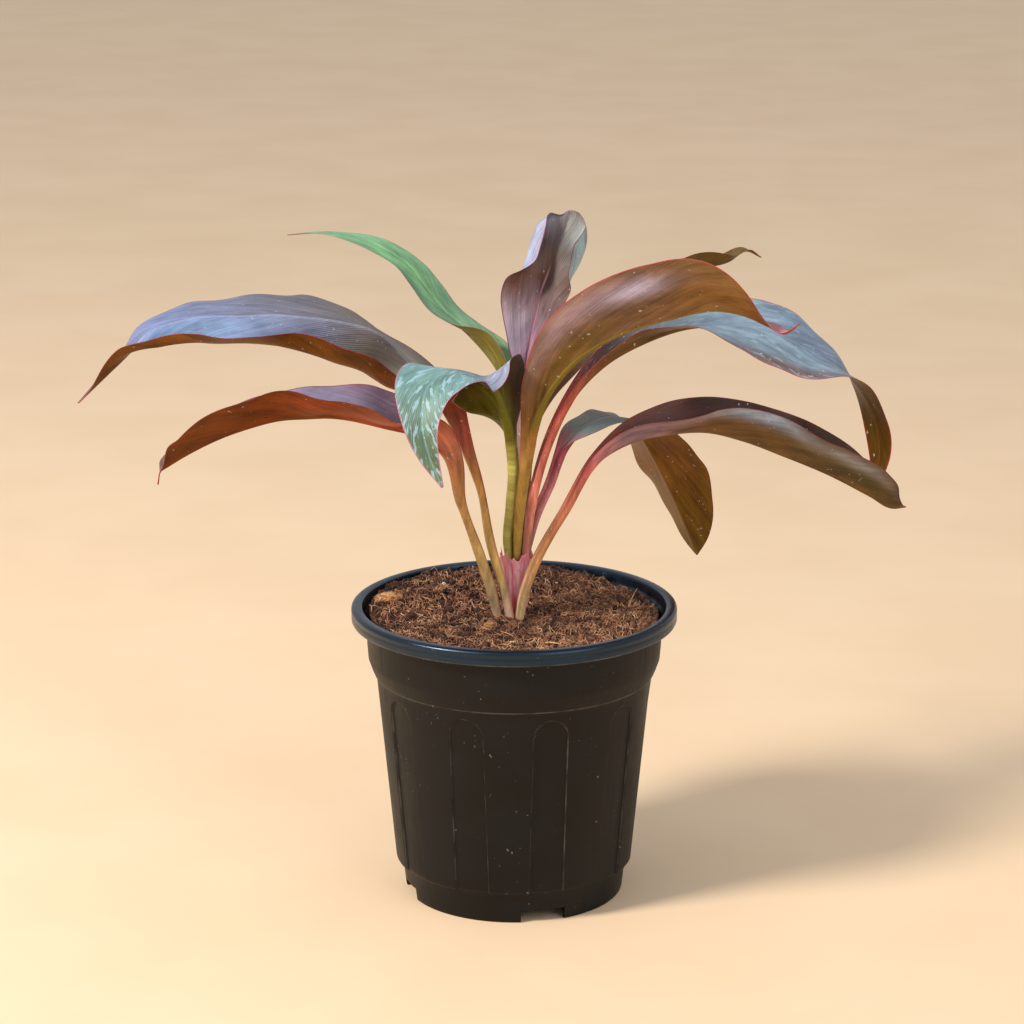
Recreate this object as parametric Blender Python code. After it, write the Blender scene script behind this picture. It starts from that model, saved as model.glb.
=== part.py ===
"""A young ti plant (sold as dracaena) in a six-inch nursery pot, in metres, +Z up.

The origin is on the pot's axis, on the surface that the pot stands on, and -Y is the front. Each piece
is one object: the pot, the soil, two coir husk chips on the soil, the stem, its papery sheath, and
ten leaves, each of which is a petiole and a blade grown as one piece.
"""

from math import cos, radians, sin, tau

import bmesh
import bpy
import numpy as np
from mathutils import Vector

MM = 0.001
GAP = 0.3  # mm between two pieces that touch

# Pot, mm
RIM_RADIUS = 75.0
POT_HEIGHT = 137.2
MOUTH_RADIUS = 69.8
FLOOR_TOP = 12.0
FLOOR_BOTTOM = 10.2
BASE_RADIUS = 55.1
FLUTES = 10
FLUTE_STEP = 8  # outline points from one flute's middle to the next
SEGMENTS = FLUTES * FLUTE_STEP
FLUTE_DEPTH = 0.8
FIRST_FLUTE = 15.5  # degrees right of the front
NOTCH_WIDTH = 20.7
NOTCH_HEIGHT = 6.0
FIRST_NOTCH = 15.3  # degrees right of the front
DRAIN_RADIUS = 4.5
DRAIN_CIRCLE = 33.0

# Soil, mm
SOIL_SEGMENTS = 40
SOIL_TOP = 131.4
SOIL_BANK = 3.8
SOIL_OUTER = 65.8

# Husk chips, mm: centre, half size, turn in degrees, and the seed of its lumps
CHIPS = {
    "husk_chip_left": ((-58.0, 9.0), (6.5, 3.6, 2.6), 20, 3),
    "husk_chip_front": ((-11.0, -19.0), (3.4, 2.4, 1.7), 60, 5),
}

# Stem and sheath, mm
STEM_AXIS = (0.8, -0.2)
STEM_RADIUS = 4.4
STEM_BOTTOM = 112.0
STEM_TOP = 157.5
SHEATH_WALL = 0.7
SHEATH_BOTTOM = 138.0
SHEATH_TOP = 156.5

# Leaves, mm and degrees
LEAF_RINGS = 24
SECTION_PLACES = 4  # points from the rib to an edge, on the top and on the bottom
TIP_CROWDING = 1.2  # how much closer the rings get towards the tip; 1 is evenly spaced
BLADE_THICKNESS = 0.9
PETIOLE_HALF = 2.3
PETIOLE_FOLD = 40
PETIOLE_CURL = 20

# Each leaf: heading in degrees from +X, the petiole's centre points from the base up, the half width at
# those points, and the blade's stations from its base to its tip. A station is x, y, z, half width, the
# left half's angle and curl, the right half's angle and curl, and the roll about the midrib. Angles
# are measured from flat towards the upper side.
LEAVES = {
    "leaf_upper_left": (
        198,
        [(-1.6, -7.6, 132), (-4.4, -8.2, 146), (-10, -9, 166), (-17, -11, 201)],
        [2.0, 2.2, 2.3, 2.5],
        [
            (-23, -11, 214, 5, 60, 10, 60, 10, 0),
            (-30.5, -11, 229, 10, 60, 10, 60, 10, 0),
            (-38.5, -12, 242, 19, -20, 95, 30, 0, 0),
            (-48, -15, 255.5, 29, -78, 130, 8, 0, 0),
            (-61, -23, 270, 32.5, -85, 140, 3, 0, 0),
            (-76, -28, 275.5, 31.5, -84, 142, 6, 0, 0),
            (-90, -33, 278.5, 28.5, -80, 150, 8, 0, 0),
            (-105, -37, 280.5, 26, -60, 112, 12, 0, 0),
            (-118, -41, 281, 24, -50, 85, 10, 0, 0),
            (-140, -48, 281.5, 20, -60, 110, 2, 0, 0),
            (-160, -54, 275.5, 14, -60, 140, 5, 0, 0),
            (-168.5, -57, 266.5, 10, 25, 50, 5, 0, 0),
            (-175.5, -59, 260, 7, 50, 10, 0, 0, 0),
            (-189.5, -63, 247, 0.6, 0, 0, 0, 0, 0),
        ],
    ),
    "leaf_lower_left": (
        215,
        [(-7.4, -4.2, 132.45), (-9.4, -6.6, 142), (-15, -14, 163), (-24, -22, 192)],
        [2.0, 2.2, 2.3, 2.4],
        [
            (-29.5, -29, 213, 7, 65, 10, 65, 10, 0),
            (-39.5, -36, 224.5, 13, 45, 10, 55, 10, 0),
            (-58, -47, 233, 18, 12, 10, 62, 0, 0),
            (-81, -62, 240.5, 16.5, 31, 8, 40, 0, 0),
            (-91, -68.5, 241.5, 16.5, 34, 5, 42, 0, 0),
            (-100, -74, 242, 16.5, 60, 5, 34, 0, 0),
            (-113.5, -84.5, 241, 16.5, 66, 5, 22, 0, 0),
            (-125, -92, 238.5, 15, 66, 10, 14, 0, 0),
            (-140.5, -101, 232.5, 11, 68, 0, 10, 0, 0),
            (-147.5, -105.3, 229, 6, 62, 0, 10, 0, 0),
            (-149.5, -106.5, 228, 1.3, 40, 0, 20, 0, 0),
            (-151, -107, 222, 0.5, 20, 0, 20, 0, 0),
        ],
    ),
    "leaf_lower_right": (
        20,
        [(2, -8.9, 131.9), (3.6, -9.2, 142), (8, -9.6, 156), (23, -11, 185)],
        [2.0, 2.2, 2.3, 2.3],
        [
            (39, -12, 210, 4, 60, 20, 60, 20, 0),
            (52.5, -10, 217, 9, 60, 10, 50, 10, 0),
            (69, -5, 219.5, 13.5, 55, 10, 30, 10, 0),
            (86, 4, 218, 16, 60, 15, 50, 15, 0),
            (104, 15, 211, 18.5, 70, 0, 60, 10, 0),
            (126, 28, 199.5, 19.5, 78, 0, 50, 10, 0),
            (149, 42, 186.5, 18, 76, 0, 52, 10, 0),
            (168, 51, 174.5, 14.5, 62, 0, 60, 10, 0),
            (179, 56, 167.5, 8.5, 55, 0, 55, 10, 0),
            (186, 59, 167.5, 0.6, 0, 0, 0, 0, 0),
        ],
    ),
    "leaf_upper_right": (
        22,
        [(4.4, -1.9, 158.2), (5.3, -2, 165), (7.6, 0.8, 183), (11, 6, 198), (16, 12, 212)],
        [1.3, 1.6, 2.2, 2.3, 2.6],
        [
            (27, 20, 231.5, 3.4, 50, 10, 50, 10, 0),
            (40, 28, 243, 7, 40, 0, 45, 0, 0),
            (60, 37, 252.5, 12.5, 30, 0, 40, 0, 0),
            (79.5, 44, 257.5, 16, 10, 0, 25, 0, -10),
            (99.5, 50, 257.5, 19.5, -3, 0, 2, 0, -28),
            (120, 55, 253, 22, -6, 0, 0, 0, -38),
            (140, 61, 242, 21.5, -4, 0, 8, 0, -38),
            (157.5, 66, 230, 14, 5, 0, 12, 0, -15),
            (170, 70, 211, 8, 0, 0, 5, 0, 20),
            (174.5, 74, 189.5, 5.5, 0, 0, 5, 0, 40),
            (171.5, 76, 167.5, 0.6, 0, 0, 0, 0, 40),
        ],
    ),
    "leaf_front_right": (
        322,
        [(1, -2.9, 158.2), (1.2, -4, 165), (2.4, -10, 184), (5.2, -15, 205)],
        [1.3, 1.6, 2.2, 3.0],
        [
            (8, -19, 221, 5.5, 20, 10, 60, 10, 0),
            (15, -29, 243, 13, 5, 0, 60, 10, 0),
            (28, -38, 261, 21.5, 10, 0, 60, 15, 0),
            (46, -48, 274, 26, 25, 0, 60, 20, 0),
            (68, -58, 283, 27.5, 25, 0, 62, 22, 0),
            (88, -69, 289, 24, -5, 0, 62, 14, 0),
            (99, -75, 288, 17, -20, 0, 56, 4, 0),
            (108, -81, 285, 8, -5, 0, 40, 0, 0),
            (115, -87, 283, 3.2, 10, 0, 10, 0, 0),
            (121, -90, 288, 0.6, 0, 0, 0, 0, 0),
        ],
    ),
    "leaf_back_left": (
        137,
        [(-1.1, 2.6, 158.2), (-1.3, 3.7, 165), (0, 7, 190), (0, 9.5, 208)],
        [1.3, 1.6, 2.1, 2.3],
        [
            (-1, 12, 228.5, 4, 60, 10, 60, 10, 0),
            (-6.5, 17, 243, 9, 75, 0, 45, 0, 0),
            (-14, 24, 252, 11.5, 70, 0, 18, 0, 0),
            (-23, 32, 260, 10, 15, 20, 5, 0, 0),
            (-33, 41, 267, 9.5, -5, 30, 0, 0, 0),
            (-41, 50, 275.5, 10, -5, 30, 0, 0, 0),
            (-49.5, 62, 283.5, 10, -5, 30, 0, 0, 0),
            (-60.5, 72, 289, 9.5, -5, 25, 0, 0, 0),
            (-77.5, 84, 293, 8, 0, 0, 0, 0, 0),
            (-93, 94, 293, 3.6, 0, 0, 0, 0, 0),
            (-108, 101, 290.5, 0.6, 0, 0, 0, 0, 0),
        ],
    ),
    "leaf_centre": (
        80,
        [(1.5, 0.6, 158.2), (2, 1.2, 165), (3, 2.5, 190), (4, 4, 215)],
        [1.3, 1.6, 2.1, 2.4],
        [
            (4, 6, 240, 4, 60, 10, 60, 10, 0),
            (6.5, 7, 257, 12, 48, 0, 58, 0, 0),
            (9.5, 8, 270, 17.5, 36, 0, 50, 0, 0),
            (12.5, 9, 282.5, 20.5, 44, 0, 46, 0, 0),
            (14.5, 9.5, 288, 20.5, 38, 55, 34, 20, 0),
            (16.5, 10, 293.5, 20.5, 18, 120, 14, 85, 0),
            (19, 10.5, 300.5, 21.5, 0, 146, 0, 130, 0),
            (21.5, 11.5, 306.5, 21, 0, 140, 0, 136, 0),
            (23.5, 12.2, 311, 17, 0, 116, 0, 108, 0),
            (24.5, 12.8, 314, 12, 0, 84, 0, 74, 0),
            (25, 13.2, 316, 6, 0, 45, 0, 40, 0),
            (24.5, 13.5, 318, 0.6, 0, 15, 0, 15, 0),
        ],
    ),
    "leaf_front": (
        254,
        [(-2.1, -1.5, 158.2), (-3, -2, 165), (-1.5, -6, 185), (-0.5, -11, 205)],
        [1.3, 1.6, 2.1, 2.4],
        [
            (-2, -16, 220, 5, 65, 10, 40, 10, 0),
            (-5, -23, 234, 16, 64, 0, -6, 0, 0),
            (-9, -31, 246, 20, 57, 5, -12, 0, 0),
            (-13, -36.5, 251.5, 13.5, 34, 0, -8, 0, 0),
            (-16, -40.5, 254.5, 15, -22, 0, -4, 0, 0),
            (-20.5, -45, 257, 19.5, -28, 0, 0, 0, 0),
            (-29.5, -55, 259.5, 20.5, -5, 0, 0, 0, 0),
            (-38, -66, 254, 14.5, 10, 0, 10, 0, 0),
            (-40, -74, 242, 9, 10, 0, 10, 0, 0),
            (-37, -79, 228, 5.2, 10, 0, 10, 0, 0),
            (-31, -82, 214, 0.6, 0, 0, 0, 0, 0),
        ],
    ),
    "leaf_back_right": (
        42,
        [(2.7, 4, 158.2), (3.2, 5.6, 165), (5, 9, 190), (8, 13, 214)],
        [1.3, 1.6, 2.1, 2.3],
        [
            (12, 16, 230.5, 6, 50, 0, 50, 0, 0),
            (21, 24, 252, 11, 40, 0, 50, 0, 0),
            (35, 39, 263.5, 12, 30, 0, 55, 0, 0),
            (52, 56, 271, 12, 30, 0, 55, 0, 0),
            (71, 76, 273.5, 12, 28, 0, 58, 0, 0),
            (88, 92, 276, 10, 24, 0, 58, 0, 0),
            (102.5, 101, 277.5, 6.5, 18, 0, 46, 0, 0),
            (111.5, 105, 282, 3, 20, 0, 20, 0, 0),
            (118.5, 107, 278.5, 0.6, 0, 0, 0, 0, 0),
        ],
    ),
    "leaf_small_right": (
        42,
        [(4.9, 1.2, 158.2), (6.4, 1.9, 165), (10, 5.5, 178), (16, 10, 191)],
        [1.3, 1.6, 2.1, 2.3],
        [
            (22, 15, 205.5, 3.5, 40, 10, 40, 10, 0),
            (28.5, 20, 213, 8, 15, 0, 0, 0, 0),
            (37, 29, 216.5, 11, 0, 0, 0, 0, 0),
            (47.5, 40, 216, 14, 5, 0, 5, 0, 0),
            (58, 51, 206, 19, 15, 0, 18, 0, 0),
            (67, 60, 189.5, 22, 14, 0, 27, 0, 0),
            (76, 66, 170, 20, 14, 0, 30, 0, 0),
            (84.5, 71, 149, 10, 14, 0, 22, 0, 0),
            (88, 74, 139.5, 0.6, 0, 0, 0, 0, 0),
        ],
    ),
}

UPPER_COLOUR = (0.13, 0.16, 0.20)
GREEN_COLOUR = (0.16, 0.30, 0.14)
BROWN_COLOUR = (0.17, 0.09, 0.05)
LEAF_COLOURS = {
    "leaf_back_left": GREEN_COLOUR,
    "leaf_front_right": BROWN_COLOUR,
    "leaf_lower_left": BROWN_COLOUR,
}


def clear_scene():
    for thing in list(bpy.data.objects):
        bpy.data.objects.remove(thing, do_unlink=True)


def material(name, colour, roughness, metallic=0.0):
    made = bpy.data.materials.new(name)
    made.use_nodes = True
    shader = made.node_tree.nodes["Principled BSDF"]
    shader.inputs["Base Color"].default_value = (*colour, 1.0)
    shader.inputs["Roughness"].default_value = roughness
    shader.inputs["Metallic"].default_value = metallic
    return made


def mesh_object(name, points, faces, finish, smooth=True):
    """An object from points in mm and faces, with its faces turned outwards."""
    mesh = bpy.data.meshes.new(name)
    mesh.from_pydata([tuple(float(v) * MM for v in point) for point in points], [], faces)
    shape = bmesh.new()
    shape.from_mesh(mesh)
    bmesh.ops.recalc_face_normals(shape, faces=shape.faces)
    bmesh.ops.triangulate(shape, faces=shape.faces)
    shape.to_mesh(mesh)
    shape.free()
    if smooth:
        mesh.shade_smooth()
        mesh.set_sharp_from_angle(angle=radians(40))
    mesh.materials.append(finish)
    thing = bpy.data.objects.new(name, mesh)
    bpy.context.collection.objects.link(thing)
    return thing


def tube_faces(rings, points):
    """Faces of a closed tube: quads between rings of the same number of points, and two end caps."""
    faces = []
    for ring in range(rings - 1):
        for i in range(points):
            j = (i + 1) % points
            low, high = ring * points, (ring + 1) * points
            faces.append((low + i, low + j, high + j, high + i))
    faces.append(tuple(range(points)))
    faces.append(tuple(range((rings - 1) * points, rings * points)))
    return faces


# ---- pot ----


def pot_profile():
    """Radius and height down the outside, under the foot and up the inside, and whether flutes dent it."""
    top = POT_HEIGHT
    rim = RIM_RADIUS
    return [
        (MOUTH_RADIUS + 0.9, top, False),
        (rim - 1.2, top, False),
        (rim - 0.2, top - 0.9, False),
        (rim, top - 2.6, False),
        (rim - 0.1, top - 6.2, False),
        (rim - 1.1, top - 7.1, False),
        (69.0, top - 7.5, False),
        (68.1, 127.0, False),
        (67.2, 112.4, False),
        (64.6, 105.6, False),
        (63.5, 101.5, False),
        (63.1, 98.5, True),
        (62.7, 94.0, True),
        (55.8, 22.0, True),
        (55.4, 18.5, False),
        (BASE_RADIUS, 16.0, False),
        (54.1, 14.4, False),
        (52.3, 13.7, False),
        (51.4, 7.5, False),
        (50.4, 0.0, False),
        (48.6, 0.0, False),
        (49.4, FLOOR_BOTTOM, False),
        (DRAIN_CIRCLE, FLOOR_BOTTOM, False),
        (10.0, FLOOR_BOTTOM, False),
    ]


def inner_profile():
    """Radius and height from the middle of the floor up the inside wall to the mouth."""
    return [
        (10.0, FLOOR_TOP),
        (DRAIN_CIRCLE, FLOOR_TOP),
        (51.0, FLOOR_TOP),
        (52.4, 15.5),
        (62.0, 108.0),
        (63.4, 110.0),
        (65.9, 128.5),
        (68.6, 131.0),
        (MOUTH_RADIUS, POT_HEIGHT - 1.0),
    ]


def flute_dent(i, height):
    """How far the wall is dented at outline point i: flutes are three points wide with an arched top."""
    off = (i + FLUTE_STEP // 2) % FLUTE_STEP - FLUTE_STEP // 2
    if height > 96.0:
        return FLUTE_DEPTH if off == 0 else 0.0
    return FLUTE_DEPTH if abs(off) <= 1 else 0.0


def pot_wall():
    rings = [(r, z, dents) for r, z, dents in pot_profile()]
    rings += [(r, z, False) for r, z in inner_profile()]
    points, faces = [], []
    for radius, height, dents in rings:
        for i in range(SEGMENTS):
            angle = radians(FIRST_FLUTE - 90) + tau * i / SEGMENTS
            r = radius - (flute_dent(i, height) if dents else 0.0)
            points.append((r * cos(angle), r * sin(angle), height))
    down = len(pot_profile())
    for ring in range(len(rings)):
        if ring != down - 1:
            faces += ring_band(ring, (ring + 1) % len(rings))
    for ring, height in ((down - 1, FLOOR_BOTTOM), (down, FLOOR_TOP)):
        centre = len(points)
        points.append((0.0, 0.0, height))
        start = ring * SEGMENTS
        faces += [(start + i, start + (i + 1) % SEGMENTS, centre) for i in range(SEGMENTS)]
    return points, faces


def ring_band(low, high):
    a, b = low * SEGMENTS, high * SEGMENTS
    return [(a + i, a + (i + 1) % SEGMENTS, b + (i + 1) % SEGMENTS, b + i) for i in range(SEGMENTS)]


def foot_cutters(finish):
    """Four square notches through the foot ring, as one cutter."""
    points, faces = [], []
    for k in range(4):
        angle = radians(FIRST_NOTCH - 90 + 90 * k)
        along = Vector((cos(angle), sin(angle), 0))
        across = Vector((-along.y, along.x, 0))
        start = len(points)
        for z in (-2.0, NOTCH_HEIGHT):
            for r in (44.0, 56.0):
                for side in (-NOTCH_WIDTH / 2, NOTCH_WIDTH / 2):
                    points.append(tuple(along * r + across * side + Vector((0, 0, z))))
        quads = ((0, 1, 3, 2), (4, 6, 7, 5), (0, 4, 5, 1), (2, 3, 7, 6), (0, 2, 6, 4), (1, 5, 7, 3))
        faces += [tuple(start + i for i in quad) for quad in quads]
    return mesh_object("foot_cutters", points, faces, finish, smooth=False)


def drain_cutters(finish):
    """Round drain holes through the floor: one in the middle and six around it."""
    points, faces = [], []
    centres = [(0.0, 0.0)]
    centres += [(DRAIN_CIRCLE * cos(tau * k / 6), DRAIN_CIRCLE * sin(tau * k / 6)) for k in range(6)]
    sides = 12
    for x, y in centres:
        start = len(points)
        for z in (FLOOR_BOTTOM - 2, FLOOR_TOP + 2):
            for i in range(sides):
                angle = tau * i / sides
                points.append((x + DRAIN_RADIUS * cos(angle), y + DRAIN_RADIUS * sin(angle), z))
        faces += [tuple(start + i for i in face) for face in tube_faces(2, sides)]
    return mesh_object("drain_cutters", points, faces, finish, smooth=False)


def cut(thing, cutter):
    cutter.hide_render = True
    cutter.display_type = "WIRE"
    modifier = thing.modifiers.new("cut " + cutter.name, "BOOLEAN")
    modifier.object = cutter
    modifier.operation = "DIFFERENCE"
    modifier.solver = "EXACT"


def make_pot():
    plastic = material("pot_plastic", (0.012, 0.012, 0.013), 0.45)
    points, faces = pot_wall()
    pot = mesh_object("pot", points, faces, plastic)
    cut(pot, foot_cutters(plastic))
    cut(pot, drain_cutters(plastic))


# ---- soil and what lies on it ----


def soil_height(x, y):
    """The uneven top of the soil, level under the plant's base and banked up behind it."""
    bumps = 0.5 * sin(x * 0.21 + 1.0) * cos(y * 0.17) + 0.35 * sin(x * 0.47 + y * 0.39)
    away = min(1.0, max(0.0, ((x * x + y * y) ** 0.5 - 12) / 14))
    bank = min(1.0, max(0.0, (0.85 * y - 0.5 * x - 6) / 42))
    return SOIL_TOP + bumps * away + SOIL_BANK * bank * bank * (3 - 2 * bank)


def make_soil():
    """A turned plug that fills the pot, with a socket for the stem."""
    dirt = material("soil", (0.055, 0.028, 0.016), 0.95)
    socket = STEM_RADIUS + GAP
    top_radii = [socket, 12.0, 24.0, 38.0, 48.0, 57.0, SOIL_OUTER - 1.5]
    wall = [(SOIL_OUTER, SOIL_TOP - 1.5), (65.2, 128.4), (62.7, 109.9)]
    wall += [(61.3, 107.8), (51.8, 15.8), (50.4, FLOOR_TOP + GAP)]
    points = []
    x0, y0 = STEM_AXIS
    pull = [1.0, 0.8, 0.5, 0.2, 0.0, 0.0, 0.0]

    def ring(radius, height, shift=0.0):
        for i in range(SOIL_SEGMENTS):
            angle = tau * i / SOIL_SEGMENTS
            x = radius * cos(angle) + x0 * shift
            y = radius * sin(angle) + y0 * shift
            points.append((x, y, soil_height(x, y) if height is None else height))

    ring(socket, STEM_BOTTOM - GAP, 1.0)
    for radius, shift in zip(top_radii, pull):
        ring(radius, None, shift)
    for radius, height in wall:
        ring(radius, height)
    rings = 1 + len(top_radii) + len(wall)
    mesh_object("soil", points, tube_faces(rings, SOIL_SEGMENTS), dirt)


def make_chip(name, centre, size, turn, seed):
    """A flattened lump of coir husk lying a touching gap above the soil."""
    husk = material(name, (0.42, 0.24, 0.11), 0.9)
    rows, sides = 5, 9
    chance = np.random.default_rng(seed)
    c, s = cos(radians(turn)), sin(radians(turn))
    points = []
    for row in range(rows):
        tilt = radians(-62 + 124 * row / (rows - 1))
        for i in range(sides):
            angle = tau * i / sides
            swell = 1.0 + 0.22 * chance.uniform(-1, 1)
            x = size[0] * cos(tilt) * cos(angle) * swell
            y = size[1] * cos(tilt) * sin(angle) * swell
            points.append((centre[0] + c * x - s * y, centre[1] + s * x + c * y, size[2] * sin(tilt)))
    lift = GAP + max(soil_height(x, y) - z for x, y, z in points)
    points = [(x, y, z + lift) for x, y, z in points]
    mesh_object(name, points, tube_faces(rows, sides), husk)


# ---- stem and sheath ----


def about_stem(radius, angle, height):
    return STEM_AXIS[0] + radius * cos(angle), STEM_AXIS[1] + radius * sin(angle), height


def make_stem():
    """The short stem: its foot is in the soil and its top carries the younger leaves."""
    flesh = material("stem", (0.62, 0.30, 0.26), 0.5)
    sides = 16
    profile = [(3.2, STEM_BOTTOM), (STEM_RADIUS, 116.0), (STEM_RADIUS, 140.0)]
    profile += [(4.2, STEM_TOP - 0.6), (3.7, STEM_TOP)]
    points = []
    for radius, height in profile:
        points += [about_stem(radius, tau * i / sides, height) for i in range(sides)]
    mesh_object("stem", points, tube_faces(len(profile), sides), flesh)


def make_sheath():
    """A thin papery wrap, open at the back, a touching gap away from the stem."""
    paper = material("stem_sheath", (0.80, 0.36, 0.34), 0.6)
    inner = STEM_RADIUS + GAP
    steps = 14
    low, high = [], []
    for radius in (inner, inner + SHEATH_WALL):
        for i in range(steps + 1):
            angle = radians(-200 + 220 * i / steps)
            ragged = SHEATH_TOP - 2.5 * abs(sin(2.2 * i))
            low.append(about_stem(radius, angle, SHEATH_BOTTOM))
            high.append(about_stem(radius, angle, ragged))
    n = steps + 1
    loop = list(range(n)) + list(range(2 * n - 1, n - 1, -1))
    points = [low[i] for i in loop] + [high[i] for i in loop]
    faces = tube_faces(2, len(loop))[:-2]
    for start in (0, len(loop)):
        for i in range(n - 1):
            faces.append((start + i, start + i + 1, start + 2 * n - 2 - i, start + 2 * n - 1 - i))
    mesh_object("stem_sheath", points, faces, paper)


# ---- leaves ----


def smooth(knots, rows, at):
    """Rows of numbers read at places between their knots, on a smooth curve through every row."""
    knots = np.asarray(knots, float)
    rows = np.asarray(rows, float)
    span = np.diff(knots)
    slope = np.diff(rows, axis=0) / span[:, None]
    tangent = np.empty_like(rows)
    tangent[0], tangent[-1] = slope[0], slope[-1]
    before, after = span[:-1, None], span[1:, None]
    tangent[1:-1] = (slope[:-1] * after + slope[1:] * before) / (before + after)
    k = np.clip(np.searchsorted(knots, at, side="right") - 1, 0, len(knots) - 2)
    t = ((at - knots[k]) / span[k])[:, None]
    width = span[k][:, None]
    start = (2 * t**3 - 3 * t**2 + 1) * rows[k] + (t**3 - 2 * t**2 + t) * width * tangent[k]
    end = (3 * t**2 - 2 * t**3) * rows[k + 1] + (t**3 - t**2) * width * tangent[k + 1]
    return start + end


def unit(vectors):
    return vectors / np.linalg.norm(vectors, axis=-1, keepdims=True)


def leaf_stations(petiole, halves, blade):
    """The petiole's points in the blade's format, then the blade's own stations."""
    shape = (PETIOLE_FOLD, PETIOLE_CURL, PETIOLE_FOLD, PETIOLE_CURL, 0)
    return np.array([(*point, half, *shape) for point, half in zip(petiole, halves)] + blade, float)


def half_blade(reach, angle, curl):
    """Across and up from the midrib at a fraction of a half blade that starts at angle and turns by curl."""
    steps = np.linspace(0, reach, 17)
    bend = np.clip(steps * 2.5 - 1, 0, 1)
    turning = angle + curl * bend * bend * (3 - 2 * bend)
    across = np.trapz(np.cos(turning), steps)
    up = np.trapz(np.sin(turning), steps)
    return across, up, turning[-1]


def ring_places(half):
    """Fractions of the half width where a leaf's section has points, the last at the edge."""
    near = min(0.42, 2.0 / half)
    return near, 0.4 + 0.6 * near, 0.72 + 0.28 * near, 1.0


def leaf_ring(centre, side, up, half, angles, rib):
    """Points round a leaf's section: right edge, over the top to the left edge, and back below."""
    top, bottom = {}, {}
    left, left_curl, right, right_curl = angles
    radius = min(half, PETIOLE_HALF)
    for sign, angle, curl in ((1, right, right_curl), (-1, left, left_curl)):
        for place, reach in enumerate(ring_places(half), start=1):
            across, rise, turned = half_blade(reach, angle, curl)
            at = centre + half * (sign * across * side + rise * up)
            normal = -sign * sin(turned) * side + cos(turned) * up
            keel = rib * max(0.0, 1 - (reach * half / radius) ** 2) ** 0.5
            top[sign * place] = at + normal * BLADE_THICKNESS / 2
            bottom[sign * place] = at - normal * (BLADE_THICKNESS / 2 + keel)
            if place == SECTION_PLACES:
                top[sign * place] = at
    crown = centre + up * BLADE_THICKNESS / 2
    keel_point = centre - up * (BLADE_THICKNESS / 2 + rib)
    outward = range(1, SECTION_PLACES + 1)
    over = [top[k] for k in reversed(outward)] + [crown] + [top[-k] for k in outward]
    inner = outward[:-1]
    under = [bottom[-k] for k in reversed(inner)] + [keel_point] + [bottom[k] for k in inner]
    return over + under


def leaf_points(heading, stations, blade_start):
    """The points of a leaf's rings from the petiole's foot to the tip."""
    knots = np.concatenate([[0], np.cumsum(np.linalg.norm(np.diff(stations[:, :3], axis=0), axis=1))])
    fine = np.linspace(0, knots[-1], 8 * LEAF_RINGS)
    places = knots[-1] * (1 - np.linspace(1, 0, LEAF_RINGS) ** TIP_CROWDING)
    rows = smooth(knots, stations, places)
    course = smooth(knots, stations, fine)[:, :3]
    directions = unit(np.gradient(course, axis=0))
    tangents = unit(np.stack([np.interp(places, fine, directions[:, i]) for i in range(3)], axis=1))
    level = np.array([sin(radians(heading)), -cos(radians(heading)), 0.0])
    points = []
    for place, row, tangent in zip(places, rows, tangents):
        side = unit(level - (tangent @ level) * tangent)
        up = np.cross(side, tangent)
        roll = radians(row[8])
        side, up = side * cos(roll) + up * sin(roll), up * cos(roll) - side * sin(roll)
        half = max(row[3], 0.5)
        along_blade = max(0.0, (place - knots[blade_start]) / (knots[-1] - knots[blade_start]))
        rib = 0.85 * min(half, PETIOLE_HALF) * (1 - 0.8 * min(1.0, along_blade * 1.6))
        points += leaf_ring(row[:3], side, up, half, np.radians(row[4:8]), rib)
    return points


def make_leaf(name, heading, petiole, halves, blade):
    finish = material(name, LEAF_COLOURS.get(name, UPPER_COLOUR), 0.35)
    stations = leaf_stations(petiole, halves, blade)
    points = leaf_points(heading, stations, len(petiole))
    mesh_object(name, points, tube_faces(LEAF_RINGS, 4 * SECTION_PLACES), finish)


def main():
    clear_scene()
    make_pot()
    make_soil()
    for name, chip in CHIPS.items():
        make_chip(name, *chip)
    make_stem()
    make_sheath()
    for name, leaf in LEAVES.items():
        make_leaf(name, *leaf)


main()
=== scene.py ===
"""The look of the potted ti plant (sold as dracaena): leaves, stem, soil and nursery pot, on a pale floor."""
from math import cos, pi, radians, sin, tau

import bmesh
import bpy
import numpy as np
from mathutils import Matrix, Vector
from mathutils import noise as mnoise


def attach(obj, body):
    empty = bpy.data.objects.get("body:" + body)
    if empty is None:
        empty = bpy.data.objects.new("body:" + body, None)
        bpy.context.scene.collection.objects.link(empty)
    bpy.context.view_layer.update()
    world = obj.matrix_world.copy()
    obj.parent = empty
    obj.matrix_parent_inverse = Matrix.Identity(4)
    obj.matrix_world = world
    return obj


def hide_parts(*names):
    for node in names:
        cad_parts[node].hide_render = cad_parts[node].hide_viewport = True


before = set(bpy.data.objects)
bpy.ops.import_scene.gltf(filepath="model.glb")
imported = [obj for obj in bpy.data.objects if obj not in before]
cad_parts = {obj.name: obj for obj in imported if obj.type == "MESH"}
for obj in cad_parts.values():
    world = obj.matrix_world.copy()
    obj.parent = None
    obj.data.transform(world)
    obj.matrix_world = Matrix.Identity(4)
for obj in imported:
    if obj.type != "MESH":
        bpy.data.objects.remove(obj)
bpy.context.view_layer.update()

MM = 0.001

# ---- sizes, mm ----

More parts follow.
